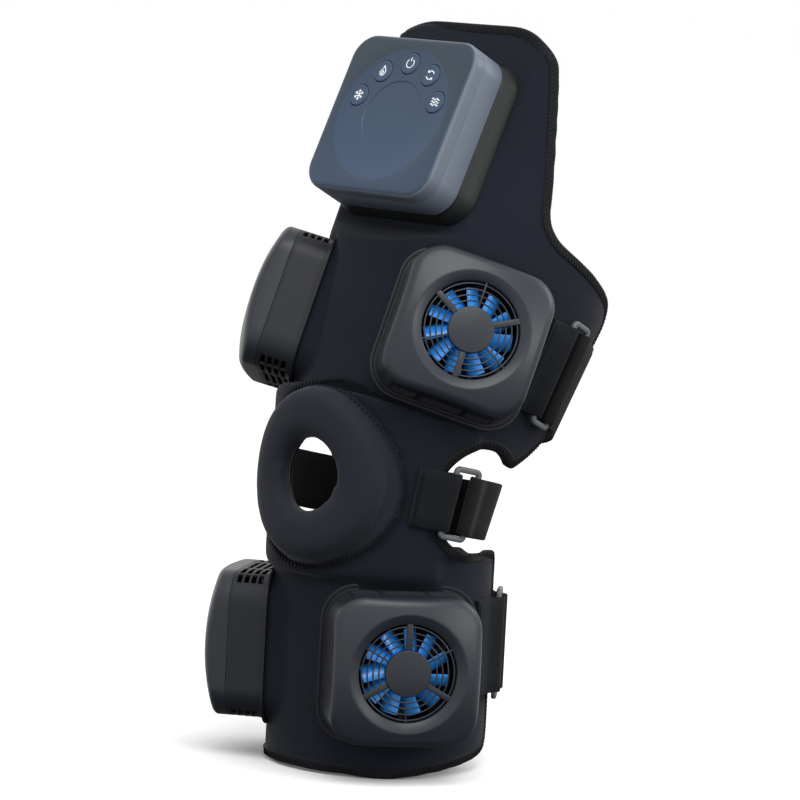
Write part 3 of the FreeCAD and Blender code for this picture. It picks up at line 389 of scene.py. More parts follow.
dish_top = dome_level(dish_radius, 0)
vent_level = dish_top - 2.3 * MM
corner_from = module_width / 2 - module_corner
cover = square_wall("module_cover", module_width, module_width, module_corner, parting,
                    dish_top, 4.4 * MM)
open_circle(dish_radius, dish_top, 6)
shell = bmesh.from_edit_mesh(cover.data)
for vert in shell.verts:
    stretch = (dome_level(vert.co.x, vert.co.y) - parting) / (dish_top - parting)
    vert.co.z = parting + (vert.co.z - parting) * stretch
bmesh.update_edit_mesh(cover.data)
slope = vent_radius / dish_radius
grow(vent_level - dish_top, slope)
grow(-2.0 * MM)
pick("EDGE", lambda p: in_ring(p, dish_radius))
bpy.ops.mesh.bevel(offset=0.7 * MM, segments=3)
pick("EDGE", lambda p: in_ring(p, vent_radius) and p.z > vent_level - 0.3 * MM)
bpy.ops.mesh.bevel(offset=0.5 * MM, segments=2)
walled(cover, 2.0 * MM)
apply_modifiers(cover)

grille_parts = [cover]
ring_count, ring_spacing = 4, (vent_radius - cap_radius) / 4.45
for number in range(ring_count):
    middle = cap_radius + ring_spacing * (number + 1)
    bpy.ops.mesh.primitive_torus_add(major_radius=middle, minor_radius=0.5 * MM,
                                     major_segments=96, minor_segments=8,
                                     location=(0, 0, vent_level - 0.7 * MM))
    grille_parts.append(bpy.context.object)
spoke_length = vent_radius - cap_radius + 1.2 * MM
broad_spoke, thin_spoke = (3.9 * MM, 1.7 * MM, 0.7 * MM), (1.1 * MM, 1.2 * MM, 0.35 * MM)
for number in range(6):
    wide, thick, soften = thin_spoke if number % 2 else broad_spoke
    bpy.ops.mesh.primitive_cube_add(size=1)
    spoke = bpy.context.object
    spoke.scale = (wide, spoke_length, thick)
    spoke.location = (0, cap_radius - 0.8 * MM + spoke_length / 2, vent_level - 0.75 * MM)
    bpy.ops.object.transform_apply(location=True, scale=True)
    edit_all()
    bpy.ops.mesh.bevel(offset=soften, segments=3)
    bpy.ops.object.mode_set(mode="OBJECT")
    spoke.data.transform(turned("Z", 60 * number))
    grille_parts.append(spoke)
cap = button(cap_radius, 96, vent_level - 1.8 * MM, 0.7 * MM, 3)
join(grille_parts + [cap])
smooth_shade()

# Spark-eroded ABS: the mould's grain leaves a fine satin that spreads highlights, with a
# faint cloudiness. The grain is drawn at 0.5 mm, coarser than the real one, so it shows.
satin_abs, tree, skin = finish_of("satin_abs", "#1E222A", 0.36, shine=0.42)
emboss(tree, skin, speckle(tree, 2000), 0.12, 0.05)
cloud = speckle(tree, 25, 3)
tint(tree, skin, cloud, "#1B1F26", "#22272F")
blur = add_node(tree, "MapRange", {"Value": cloud}, To_Min=0.34, To_Max=0.4)
tree.links.new(blur.outputs["Result"], skin.inputs["Roughness"])
paint(cover, satin_abs)
to_modules(cover, "cover")

# -------- module housings
# The rear shells of the modules, of the same ABS in a darker grey: straight walls on a
# lipped foot against the cloth. Air leaves by four lines of slots in each end wall.
housing = square_outline("module_housing", module_width, module_width, module_corner, 0.0)
slot_high, slot_pitch, slot_from, slot_lines = 2.8 * MM, 4.4 * MM, 4.0 * MM, 4
middle_half, side_from = 12.8 * MM, 15.9 * MM
# Degrees round the corner at which the side slot ends and the corner's starts and ends.
side_to, corner_slot_from, corner_slot_to = 17, 23, 44
levels = [slot_from + slot_pitch * row + step for row in range(slot_lines)
          for step in (0, slot_high)]
levels = [0.0] + levels + [parting - 0.25 * MM]
for below, above in zip(levels, levels[1:]):
    grow(above - below)


def in_slot(p):
    """Whether a wall face lies in a slot: one a line in the middle, two beside, two at corners."""
    row, across = (p.z - slot_from) / slot_pitch, abs(p.x)
    if not 0 <= row < slot_lines or row % 1 * slot_pitch >= slot_high or abs(p.y) <= corner_from:
        return False
    if across < corner_from:
        return across < middle_half or across > side_from
    turn = math.degrees(math.atan2(across - corner_from, abs(p.y) - corner_from))
    return turn < side_to or corner_slot_from < turn < corner_slot_to


pick("FACE", in_slot)
bpy.ops.mesh.delete(type="FACE")
pick("EDGE", lambda p: p.z < 1e-6)
lip_reach = 1.5 * MM
lip = 1 + 2 * lip_reach / module_width
grow(0.0, lip)
grow(0.2 * MM)
walled(housing, 1.8 * MM, 0.3 * MM, 50)
apply_modifiers(housing)
smooth_shade()

# The same satin ABS, moulded nearly black, so that only its lip catches the light.
paint(housing, textured("dark_satin_abs", "#1B1D22", 0.45, (2000, 2, 0.15, 0.05), shine=0.3))
to_modules(housing, "housing")

# -------- fans and cooling stack
# Clear-blue polycarbonate rotors turn in black frames over extruded aluminium fins. The
# thermoelectric tile, the plate against the skin and the coin motor are behind them.
blue_pc = textured("blue_polycarbonate", "#1E8AF0", 0.28, None, (60, 2, "#1C80EA", "#38A6FF"), coat=0.3)
black_pbt = textured("black_glass_filled_pbt", "#0C0D0F", 0.6, (900, 3, 0.2, 0.05))


def drawn_metal(name, colour, roughness, along):
    """A metal with fine lines drawn along one direction, some 0.6 mm apart."""
    made, tree, skin = finish_of(name, colour, roughness)
    skin.inputs["Metallic"].default_value = 1.0
    stretch = add_node(tree, "Mapping", {"Vector": spot_in(tree)}, Scale=along)
    line = add_node(tree, "TexNoise", {"Vector": stretch.outputs["Vector"]}, Scale=1600.0)
    rough = add_node(tree, "MapRange", {"Value": line.outputs["Fac"]}, To_Min=roughness - 0.08,
                     To_Max=roughness + 0.12)
    tree.links.new(rough.outputs["Result"], skin.inputs["Roughness"])
    return made


fin_metal = drawn_metal("black_anodised_aluminium", "#1A1C1F", 0.45, (1, 1, 0.05))
plate_metal = drawn_metal("anodised_aluminium", "#C3C6CB", 0.32, (1, 1, 0.05))
can_metal = drawn_metal("stamped_steel", "#9EA1A6", 0.3, (1, 0.1, 1))
ceramic = textured("alumina_ceramic", "#E6E4DC", 0.55, (1200, 2, 0.1, 0.05))
stack = {"fan_rotor": blue_pc, "fan_frame": black_pbt, "heat_sink": fin_metal,
         "peltier_tile": ceramic, "cold_plate": plate_metal, "vibration_motor": can_metal}
for place in seats:
    for part, material in stack.items():
        paint(node[place + "_" + part], material)

# -------- control unit
# A square ABS box with large soft corners on a flared dock: slate-blue front shell with a
# shallow round dish and a disc, lighter rear shell, and five round keys on an arc.
unit_seat = lean["thigh"] @ outward(-6.0, 1.0, 67.5, 195.6, 3.0)
unit_wide, unit_high, unit_corner = 104.0 * MM, 103.0 * MM, 16.0 * MM
dock_top, shell_split, face_level = 13.0 * MM, 30.0 * MM, 40.0 * MM
face_dish, face_disc = 44.0 * MM, 22.0 * MM
dish_deep, disc_deep, coat_deep = 0.6 * MM, 0.45 * MM, 1.3 * MM


def scored(name, low, high, roughness):
    """Satin ABS with the fine eroded grain and a slight cloudiness between two colours."""
    return textured(name, low, roughness, (2000, 2, 0.1, 0.05), (20, 2, low, high), shine=0.3)


front = square_wall("control_front", unit_wide, unit_high, unit_corner,
                    shell_split + 0.2 * MM, face_level, 3.6 * MM)
open_circle(face_dish, face_level, 1)
rings = [(face_dish, 0), (face_dish - 2.5 * MM, -dish_deep), (face_disc + 0.5 * MM, 0),
         (face_disc, -disc_deep)]
for (wider, _), (radius, drop) in zip(rings, rings[1:]):
    grow(drop, radius / wider)
bpy.ops.mesh.edge_face_add()
key_radius, key_gap, key_arc, key_turn = 7.0 * MM, 0.5 * MM, 34.0 * MM, 36
key_spots = [turned("Z", key_turn * way) @ Vector((0, key_arc, 0)) for way in (2, 1, 0, -1, -2)]
walled(front, 2.2 * MM)
cutters = []
for spot_at in key_spots:
    bpy.ops.mesh.primitive_cylinder_add(vertices=64, radius=key_radius + key_gap, depth=12 * MM,
                                        location=(spot_at.x, spot_at.y, face_level))
    cutters.append(bpy.context.object)
cutter = join(cutters)
holes = front.modifiers.new("holes", "BOOLEAN")
holes.operation, holes.object, holes.solver = "DIFFERENCE", cutter, "EXACT"
apply_modifiers(front)
bpy.data.objects.remove(cutter)
smooth_shade()

rear = square_wall("control_rear", unit_wide, unit_high, unit_corner, shell_split, dock_top)
walled(rear, 2.2 * MM, 0.35 * MM)
apply_modifiers(rear)
smooth_shade()

dock = square_outline("dock", unit_wide + 7 * MM, unit_high + 2 * MM, unit_corner + 2 * MM, 0.0)
bpy.ops.mesh.edge_face_add()
bpy.ops.mesh.select_all(action="SELECT")
# The dock's flank: heights in mm and the outline's share that is left there.
flank = [(0.0, 1.0), (2.6, 1.0), (5.9, 0.985), (9.1, 0.965), (11.2, 0.945), (12.5, 0.925), (13.0, 0.90)]
for (low, wider), (top, share) in zip(flank, flank[1:]):
    grow((top - low) * MM, share / wider)
turn_out()
smooth_shade()

# The face is slate blue over the grey shell, with a painted reflection: a greyer tone outside the dish
# that grows towards the face's upper edge.
slate_blue, tree, skin = finish_of("slate_blue_painted_reflection", "#374D69", 0.38, shine=0.3)
emboss(tree, skin, speckle(tree, 2000), 0.1, 0.05)
far = add_node(tree, "VectorMath", {0: spot_in(tree)}, operation="DISTANCE")
far.inputs[1].default_value = unit_seat @ Vector((0, 0, face_level))
# Painted reflection outside the dish: the blue greys past the dish's edge.
reflection_off_dish = add_node(tree, "MapRange", {"Value": far.outputs["Value"]}, From_Min=face_dish - MM,
                   From_Max=face_dish, To_Max=0.34)
# Painted reflection by height: the blue greys towards the face's upper edge.
high = add_node(tree, "SeparateXYZ", {"Vector": spot_in(tree)})
rise = add_node(tree, "MapRange", {"Value": high.outputs["Z"]}, From_Min=0.15, From_Max=0.25,
                To_Max=0.6)
painted_reflection = add_node(tree, "Math", {0: reflection_off_dish.outputs["Result"], 1: rise.outputs["Result"]},
                operation="ADD")
# The painted reflection tints the slate blue towards a darker grey.
tint(tree, skin, painted_reflection.outputs["Value"], "#374D69", "#2F3944")
side_grey = scored("lavender_grey_satin_abs", "#5A626E", "#626A76", 0.4)
paint(front, slate_blue, side_grey)
for face in front.data.polygons:
    face.material_index = int(face.center.z < face_level - coat_deep)
paint(rear, side_grey)
paint(dock, scored("olive_black_abs", "#151718", "#1B1D1D", 0.5))
for piece, old, slot in ((front, "control_front_shell", "unit_plastic"),
                         (rear, "control_rear_shell", "unit_side_plastic"),
                         (dock, "control_dock", "dock_plastic")):
    settle(piece, unit_seat)
    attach(piece, "thigh_cuff")
    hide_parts(old)

key = button(key_radius, 64, face_level - 3.0 * MM, 0.6 * MM, 4)
pick("FACE", lambda p: p.z > face_level - 0.2 * MM)
bpy.ops.mesh.inset(thickness=1.2 * MM, depth=-0.25 * MM)
turn_out()
smooth_shade(40)
paint(key, scored("key_satin_abs", "#35465C", "#3B4D64", 0.38))

# The keys' marks are generic function signs in white pad-printed ink, each a thin raised
# print: a snow star, a flame, a power ring, two turning arrows and three waves.
white_ink = textured("white_pad_print", "#EEF1F5", 0.5, (3000, 2, 0.1, 0.02))


def polar(radius, angle):
    """A point at a distance from the middle, at an angle in degrees."""
    return radius * math.cos(math.radians(angle)), radius * math.sin(math.radians(angle))


def arc_points(radius, start, finish):
    return [polar(radius, start + (finish - start) * i / 24) for i in range(25)]


def tubes(name, lines, radius, sides=0, closed=False):
    """A mesh of thin tubes along lines of points; sides adds edges round them."""
    curve = bpy.data.curves.new(name, "CURVE")
    curve.dimensions, curve.bevel_depth, curve.bevel_resolution = "3D", radius, sides
    for line in lines:
        spline = curve.splines.new("POLY")
        spline.points.add(len(line) - 1)
        spline.use_cyclic_u = closed
        for point, place in zip(spline.points, line):
            point.co = (*place, 1)
    new_piece(name, curve)
    bpy.ops.object.convert(target="MESH")
    return bpy.context.object


snow = [[polar(0.3, turn), polar(2.9, turn)] for turn in range(30, 390, 60)]
for turn in range(30, 390, 60):
    x, y = polar(1.7, turn)
    for side in (-45, 45):
        dx, dy = polar(1.0, turn + side)
        snow.append([(x, y), (x + dx, y + dy)])
flame = [[(0, 2.9), (0.5, 1.9), (1.5, 0.8), (1.8, -0.5), (1.3, -1.9), (0, -2.6), (-1.3, -1.9),
          (-1.8, -0.7), (-1.4, 0.6), (-0.7, 0.2), (-0.4, 1.5), (0, 2.9)],
         [(0, 0.2), (0.7, -0.7), (0.3, -1.8), (-0.5, -1.4), (-0.6, -0.7), (0, 0.2)]]
power = [arc_points(2.4, 125, 415), [(0, 1.2), (0, 3.1)]]
turning = []
for start in (20, 200):
    turning.append(arc_points(2.3, start, start + 125))
    (x, y), aim = turning[-1][-1], start + 215
    for side in (-140, 140):
        dx, dy = polar(1.3, aim + side)
        turning.append([(x, y), (x + dx, y + dy)])
waves = [[(-2.7 + 0.27 * i, rise + 0.5 * math.sin(i * 0.63)) for i in range(21)]
         for rise in (-1.5, 0.0, 1.5)]
signs = {"cold": snow, "heat": flame, "power": power, "contrast": turning, "vibration": waves}
sign_scale, ink_round, ink_flat = 1.22 * MM, 0.36 * MM, 0.35
for (name, lines), spot_at in zip(signs.items(), key_spots):
    lines = [[(sign_scale * x, sign_scale * y, 0) for x, y in line] for line in lines]
    ink = tubes("sign_" + name, lines, ink_round, 1)
    for vert in ink.data.vertices:
        vert.co.z *= ink_flat
    paint(ink, white_ink)
    place = unit_seat @ Matrix.Translation(spot_at)
    settle(ink, place @ Matrix.Translation((0, 0, face_level - 0.3 * MM)))
    cap = settle(new_piece("key_" + name, key.data.copy()), place)
    for piece in (cap, ink):
        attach(piece, "button_" + name)
    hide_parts("button_" + name)
bpy.data.objects.remove(key)

board_green, tree, skin = finish_of("solder_masked_laminate", "#12502B", 0.35)
tracks = add_node(tree, "TexBrick", {"Vector": spot_in(tree)}, Scale=300.0,
                  Color1=linear("#12502B"), Color2=linear("#164F30"), Mortar=linear("#2F7A4A"))
tree.links.new(tracks.outputs["Color"], skin.inputs["Base Color"])
cell_blue = textured("pvc_shrink_sleeve", "#24589A", 0.3, (150, 2, 0.2, 0.1))
for name, material in (("circuit_board", board_green), ("battery_cells", cell_blue),
                       ("charge_port", can_metal)):
    paint(node[name], material)

# -------- sleeve
# One soft sheet of 5 mm neoprene, knit-faced, shaped round the thigh, knee and calf and
# open behind. It takes the three cuff solids' space; its cut edges are softly rounded.


def solid_copy(name, *parts, swell=0.0):
    """One merged mesh of CAD nodes' shapes, each swollen a little to close their seams."""
    copies = []
    for part in parts:
        made = new_piece(name, node[part].data.copy())
        edit_all()
        bpy.ops.mesh.remove_doubles(threshold=0.01 * MM)
        bpy.ops.object.mode_set(mode="OBJECT")
        if swell:
            modifier = made.modifiers.new("swell", "DISPLACE")
            modifier.strength, modifier.mid_level = swell, 0.0
        apply_modifiers(made)
        copies.append(made)
    return join(copies)


def remesh(piece, voxel, smooth):
    """Melts a mesh into even small faces and eases its edges."""
    voxels = piece.modifiers.new("voxels", "REMESH")
    voxels.mode, voxels.voxel_size, voxels.use_smooth_shade = "VOXEL", voxel, True
    ease = piece.modifiers.new("ease", "SMOOTH")
    ease.factor, ease.iterations = 0.5, smooth
    apply_modifiers(piece)


sleeve = solid_copy("sleeve", "thigh_wrap", "knee_panel", "calf_wrap", swell=0.22 * MM)

# Where the round cuffs step in to a module's flat, cloth fills the step over and under it:
# blocks of cloth in mm in the module's own frame, from a foot up to just under the surface.
block_reach, block_line, block_step, block_wide, block_deep = 28, 49.0, 4, 4.4, 6.6
block_foot, block_top, block_least, block_cover = -5.0, 3.0, -4.0, 0.8
cuffs_skin = BVHTree.FromObject(sleeve, bpy.context.evaluated_depsgraph_get())
fillings = [sleeve]
for seat in seats.values():
    for x, y in [(x, y) for x in range(-block_reach, block_reach + 1, block_step)
                 for y in (-block_line, block_line)]:
        place, _, _, _ = cuffs_skin.ray_cast(seat @ (Vector((x, y, 30)) * MM),
                                             seat.to_3x3() @ Vector((0, 0, -1)))
        if not place:
            continue
        top = min((seat.inverted() @ place / MM).z - block_cover, block_top)
        if top > block_least:
            bpy.ops.mesh.primitive_cube_add(size=1)
            block = bpy.context.object
            block.data.transform(seat @ Matrix.Diagonal((MM, MM, MM, 1))
                                 @ Matrix.Translation((x, y, (top + block_foot) / 2))
                                 @ Matrix.Diagonal((block_wide, block_deep, top - block_foot, 1)))
            fillings.append(block)
remesh(join(fillings), 2.1 * MM, 5)

# The tongue's top, in mm. Its front is flat to front_half, then it bends round the cuff.
front_half, front_turn, cuff_radius, cuff_middle, tongue_reach = 59, 0.749, 88, -6, 80
round_from, flat_top, side_drop = 215, 271.3, 3.6
# Corner arcs, as radius, middle's height and start: the CAD's own and the softer one.
cad_arc, cad_rise, cad_start = 28, 248, -85
soft_arc, soft_rise, soft_start = 48, 228, 32


def rounded_top(p):
    """The height of a place on the thigh cuff, in mm, once the tongue's top is rounded."""
    around = abs(p.x)
    if around > front_half:
        turn = math.atan2(around, cuff_middle - p.y) - front_turn
        around = front_half + cuff_radius * turn
    if p.z < round_from or around > tongue_reach:
        return p.z
    if around > front_half:
        edge = cad_rise + math.sqrt(cad_arc ** 2 - min(max(p.y - cad_start, 0), cad_arc) ** 2)
        target = edge - side_drop * (tongue_reach - around) / (tongue_reach - front_half)
    else:
        edge = flat_top
        target = soft_rise + math.sqrt(soft_arc ** 2 - max(around - soft_start, 0) ** 2)
    return round_from + (p.z - round_from) * (target - round_from) / (edge - round_from)


for vertex in sleeve.data.vertices:
    p = lean["thigh"].inverted() @ vertex.co / MM
    vertex.co = lean["thigh"] @ (Vector((p.x, p.y, rounded_top(p))) * MM)

# Neoprene faced with fine circular-knit nylon: a soft near-black navy with a dull sheen.
# The knit's ribs are 0.35 mm apart in the real cloth and are drawn 1.1 mm apart.
paint(sleeve, textured("knit_faced_neoprene", "#14171E", 0.82, (1400, 2, 0.35, 0.12),
                       (14, 4, "#13161E", "#1B1F28"),
                       ("Object", "Z", dict(Scale=280, Distortion=0.6, Detail=1)),
                       shine=0.12, sheen=(0.08, 0.4)))

# -------- bound edge
# A folded tape of thin nylon knit runs round the sleeve's whole edge, held by a zigzag of
# polyester thread. Its line follows the sleeve's cut edge on the outer side and the inner.
arc_steps = 8


def rounded_line(corners):
    """Points along straight runs and tangent arcs; each corner is (y, z, radius) in mm."""
    points = [Vector(corners[0][:2])]
    for i in range(1, len(corners) - 1):
        here, radius = Vector(corners[i][:2]), corners[i][2]
        before = (Vector(corners[i - 1][:2]) - here).normalized()
        after = (Vector(corners[i + 1][:2]) - here).normalized()
        half = before.angle(after) / 2
        centre = here + (before + after).normalized() * radius / math.sin(half)
        first = here + before * radius / math.tan(half) - centre
        last = here + after * radius / math.tan(half) - centre
        sweep = first.angle_signed(last)
        for step in range(arc_steps + 1):
            points.append(centre + Matrix.Rotation(-sweep * step / arc_steps, 2) @ first)
    points.append(Vector(corners[-1][:2]))
    return points


thigh_edge = rounded_line([(-90, 276, 0), (-63, 276, 28), (-34, 158, 20.8), (56, 142, 14),
                           (31, 46, 14), (9, 22, 2.8), (6, 22, 0)])
side_end = -66
thigh_edge = [(math.sqrt(cuff_radius ** 2 - (y - cuff_middle) ** 2), y, z)
              for y, z in thigh_edge if y > side_end]
thigh_edge = [(lean["thigh"] @ Vector((0, p[1], rounded_top(Vector(p))))).yz for p in thigh_edge]
# The notch beside the kneecap: two arcs as (y, z, degrees at the start, step, points).
notch_radius, notch_edge = 29.3, []
for y, z, first, step, count in ((-9.1, 1.7, 34, 146 / 20, 21), (-9.1, -4.0, 180, 76 / 12, 14)):
    notch_edge += [Vector((y, z)) + Vector(polar(notch_radius, first + i * step)) for i in range(count)]
calf_edge = rounded_line([(-7, -35, 0), (33, -35, 8), (33, -157, 16), (-53, -169, 48), (-150, -161, 0)])
side_line = thigh_edge[:-1] + notch_edge + calf_edge[1:]


def even(points, step):
    """Points a step apart along a line."""
    out, left = [points[0]], step
    for a, b in zip(points, points[1:]):
        length = (b - a).length
        while left <= length:
            out.append(a.lerp(b, left / length))
            left += step
        left -= length
    return out


def eased(points, rounds):
    """The same line with its kinks eased."""
    for _ in range(rounds):
        middle = [(a + b * 2 + c) / 4 for a, b, c in zip(points, points[1:], points[2:])]
        points = [points[0]] + middle + [points[-1]]
    return points


# The knee's sheet stands proud of the calf's where they meet; the step is worked out into
# one surface, away from the free edge and from the pad's rim.
free_edge = KDTree(len(side_line))
for number, point in enumerate(side_line):
    free_edge.insert(Vector((0, *point)), number)
free_edge.balance()
pad_seat = lean["knee"] @ outward(-8.0, 6.5, 0.0, -6.0)
join_level, join_half, join_fade = -40, 15, 5
rim_from, edge_from, calm_fade, ease_rounds = 57, 5, 8, 30
seam = sleeve.vertex_groups.new(name="join")
for vertex in sleeve.data.vertices:
    p, q = vertex.co / MM, pad_seat.inverted() @ vertex.co / MM
    band = (join_half - abs(p.z - join_level)) / join_fade
    rim = 1.0 if q.z < 0 else (math.hypot(q.x, q.y) - rim_from) / calm_fade
    _, _, free = free_edge.find(Vector((0, p.y, p.z)))
    share = min(band, rim, (free - edge_from) / calm_fade)
    seam.add([vertex.index], min(max(0.0, share), 1.0), "REPLACE")
ease = sleeve.modifiers.new("ease", "SMOOTH")
ease.factor, ease.iterations, ease.vertex_group = 0.5, ease_rounds, "join"
apply_modifiers(sleeve)

cloth_faces = BVHTree.FromObject(sleeve, bpy.context.evaluated_depsgraph_get())
tape_step, tape_inset, far_out, far_front = 1.3, 2.6, 0.2, -150
side_line = eased(even(side_line, tape_step), 4)
# Rays at the cloth from in front along the tongue's top, from the side down the cut edge and
# from in front along the hem. The hem rises by 8 mm in 97 from its lowest place forwards.
top_places, hem_places, tongue_front, side_front, side_low = 47, 37, -69.5, -60, -150
hem_low, hem_from, hem_slope, calf_middle, calf_radius = -169, -53, 8 / 97, -13, 66.5
rays = []
for number in range(top_places):
    top = rounded_top(Vector((tape_step * number, tongue_front, flat_top)))
    place = lean["thigh"] @ (Vector((tape_step * number, far_front, top - tape_inset)) * MM)
    rays.append((place, lean["thigh"].to_3x3() @ Vector((0, 1, 0))))
for before, here, after in zip(side_line, side_line[1:], side_line[2:]):
    along = (after - before).normalized()
    inner = here + Vector((along.y, -along.x)) * tape_inset
    if here.y < side_low and here.x < side_front:
        break
    rays.append((Vector((far_out, inner.x * MM, inner.y * MM)), Vector((-1, 0, 0))))
for number in reversed(range(hem_places)):
    wide = tape_step * number
    forward = hem_from - calf_middle + math.sqrt(calf_radius ** 2 - wide ** 2)
    rise = hem_low + hem_slope * forward + tape_inset
    rays.append((Vector((wide, far_front, rise)) * MM, Vector((0, 1, 0))))
edge_points, edge_normals, widest_gap = [], [], 14 * MM
for start, way in rays:
    place, normal, _, _ = cloth_faces.ray_cast(start, way)
    if place is not None and (not edge_points or (place - edge_points[-1]).length < widest_gap):
        edge_points.append(place)
        edge_normals.append(normal)
edge_points, edge_normals = eased(edge_points, 6), eased(edge_normals, 12)
mirror = Vector((-1, 1, 1))
edge_points += [p * mirror for p in reversed(edge_points[1:-1])]
edge_normals += [n * mirror for n in reversed(edge_normals[1:-1])]


def along_edge(points, normals):
    """Frames along a closed line: the place, the cloth's normal and the way across it."""
    for i, (p, n) in enumerate(zip(points, normals)):
        tangent = (points[(i + 1) % len(points)] - points[i - 1]).normalized()
        n = (n - tangent * n.dot(tangent)).normalized()
        yield p, n, tangent.cross(n)


def ribbon(name, frames, section, closed=True):
    """A mesh strip that carries a closed section, in mm, along frames, with UVs in cm."""
    verts, faces, wide = [], [], len(section)
    frames = list(frames)
    for p, n, b in frames:
        verts += [p + b * (across * MM) + n * (out * MM) for across, out in section]
    spans = len(frames) if closed else len(frames) - 1
    for i in range(spans):
        j = (i + 1) % len(frames)
        for k in range(wide):
            m = (k + 1) % wide
            faces.append((i * wide + k, i * wide + m, j * wide + m, j * wide + k))
    if not closed:
        faces += [tuple(range(wide)), tuple(range((len(frames) - 1) * wide, len(verts)))]
    mesh = bpy.data.meshes.new(name)
    mesh.from_pydata(verts, [], faces)
    run, round_it = [0.0], [0.0]
    for (p, _, _), (q, _, _) in zip(frames, frames[1:] + frames[:1]):
        run.append(run[-1] + (q - p).length * 100)
    for (x, y), (u, v) in zip(section, section[1:] + section[:1]):
        round_it.append(round_it[-1] + math.hypot(u - x, v - y) / 10)
    flat = mesh.uv_layers.new(name="along")
    for face in mesh.polygons[:spans * wide]:
        i, k = divmod(face.index, wide)
        for loop, (m, n) in zip(face.loop_indices, ((k, i), (k + 1, i), (k + 1, i + 1), (k, i + 1))):
            flat.data[loop].uv = round_it[m], run[n]
    made = new_piece(name, mesh)
    bpy.ops.object.mode_set(mode="EDIT")
    turn_out()
    smooth_shade(60)
    return made


tape_section = [(-3.3, -0.6), (-2.9, 0.35), (-1.8, 0.75), (1.8, 0.75), (2.9, 0.35), (3.3, -0.6),
                (3.3, -4.8), (2.9, -5.7), (1.8, -6.0), (-1.8, -6.0), (-2.9, -5.7), (-3.3, -4.8)]
edge_frames = list(along_edge(edge_points, edge_normals))
tape = ribbon("edge_tape", edge_frames, tape_section)


def stitches(name, frames, reach, lift, closed=True, thick=0.3):
    """A zigzag of thread along frames, reach mm to each side, lifted off the cloth."""
    places = [p + b * (reach * MM * (-1) ** i) + n * (lift * MM) for i, (p, n, b) in enumerate(frames)]
    made = tubes(name, [places], thick * MM, closed=closed)
    paint(made, thread)
    return made


# Folded knit tape: the sleeve's cloth in a deeper black, worn smoother at its turn.
paint(tape, textured("folded_knit_tape", "#0E1015", 0.7, (900, 2, 0.3, 0.1),
                     sheen=(0.1, 0.35), shine=0.2))
# Bonded polyester thread: two black plies, each with a slight shine.
thread = textured("bonded_polyester_thread", "#08090B", 0.5, (2500, 2, 0.4, 0.1), shine=0.2)
tape_thread = stitches("edge_stitches", edge_frames[:len(edge_frames) // 2 * 2], 2.3, 0.8)
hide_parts("thigh_wrap", "knee_panel", "calf_wrap")
for piece in (sleeve, tape, tape_thread):
    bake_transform(piece)

# -------- kneecap pad
# A foam ring in the sleeve's own cloth round the hole for the kneecap, crowned, with a
# rolled lip at the hole. A zigzag seam sews its flat rim to the panel under it.
pad_crest, pad_rim, pad_swell, roll_out, hole_roll = 37.0, 52.5, 1.6, 25.0, 12.0
hole_reach, crown_foot, crown_rise, roll_share, sewn_below = 14.0, 0.12, 0.84, 0.12, 2.0
panel_radius, panel_slope, seam_radius, seam_ring, seam_stitches = 75.3, 0.125, 77.0, 53.6, 220


def above_knee(p):
    """A point of the pad in its own frame in mm, with its height over the panel."""
    q = pad_seat.inverted() @ p / MM
    return q, math.hypot(q.x, q.z) - panel_radius - panel_slope * q.y


pad = solid_copy("patella_cushion", "patella_pad")
remesh(pad, 2.6 * MM, 2)
held = pad.vertex_groups.new(name="sewn")
for vertex in pad.data.vertices:
    q, height = above_knee(vertex.co)
    ring = math.hypot(q.x, q.y)
    reach = abs(ring - pad_crest) / (pad_rim - pad_crest if ring > pad_crest else hole_reach)
    crown = crown_foot + crown_rise * math.sqrt(max(0.0, 1.0 - min(reach, 1.0) ** 3))
    roll = 1.0 - roll_share * max(0.0, 1.0 - (ring - roll_out) / hole_roll)
    q.x, q.y = q.x * roll, q.y * roll
    round_leg = Vector((q.x, 0, q.z)).normalized()
    vertex.co = pad_seat @ ((q + round_leg * max(height, 0.0) * (crown - 1.0)) * MM)
    if height < sewn_below or ring > pad_rim:
        held.add([vertex.index], 1.0, "REPLACE")
start = [vertex.co.copy() for vertex in pad.data.vertices]
stuffing = pad.modifiers.new("stuffing", "CLOTH")
stuffing.settings.use_pressure, stuffing.settings.uniform_pressure_force = True, 4.0
stuffing.settings.effector_weights.gravity = 0.0
stuffing.settings.vertex_group_mass = "sewn"
stuffing.settings.tension_stiffness = stuffing.settings.compression_stiffness = 20.0
for number in range(1, 21):
    bpy.context.scene.frame_set(number)
apply_modifiers(pad)
bpy.context.scene.frame_set(1)
for vertex, place in zip(pad.data.vertices, start):
    push = vertex.co - place
    if push.length > pad_swell * MM:
        vertex.co = place + push * (pad_swell * MM / push.length)
finer = pad.modifiers.new("finer", "SUBSURF")
finer.levels = finer.render_levels = 1
apply_modifiers(pad)

rim_places, rim_normals = [], []
for number in range(seam_stitches):
    x, y = polar(seam_ring, 360 * number / seam_stitches)
    z = math.sqrt((seam_radius + panel_slope * y) ** 2 - x ** 2)
    rim_places.append(pad_seat @ (Vector((x, y, z)) * MM))
    rim_normals.append(pad_seat.to_3x3() @ Vector((x, -panel_slope * seam_radius, z)).normalized())
pad_thread = stitches("pad_stitches", along_edge(rim_places, rim_normals), 2.6, 0.6, thick=0.45)

# The sleeve's knit over foam: a shade lighter than the sleeve's cloth all over, with a faint
# cloudiness.
paint(pad, textured("knit_over_foam", "#1F2229", 0.8, (1300, 2, 0.35, 0.12),
                    (22, 3, "#1C1F26", "#242830"), sheen=(0.12, 0.4), shine=0.15))
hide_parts("patella_pad")
for piece in (pad, pad_thread):
    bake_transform(piece)

# -------- rings
# Three moulded acetal rings, one to a closure: rectangular, with softened bars. Each hangs
# in the fold of its tab by the front bar, and takes its strap round the rear bar.

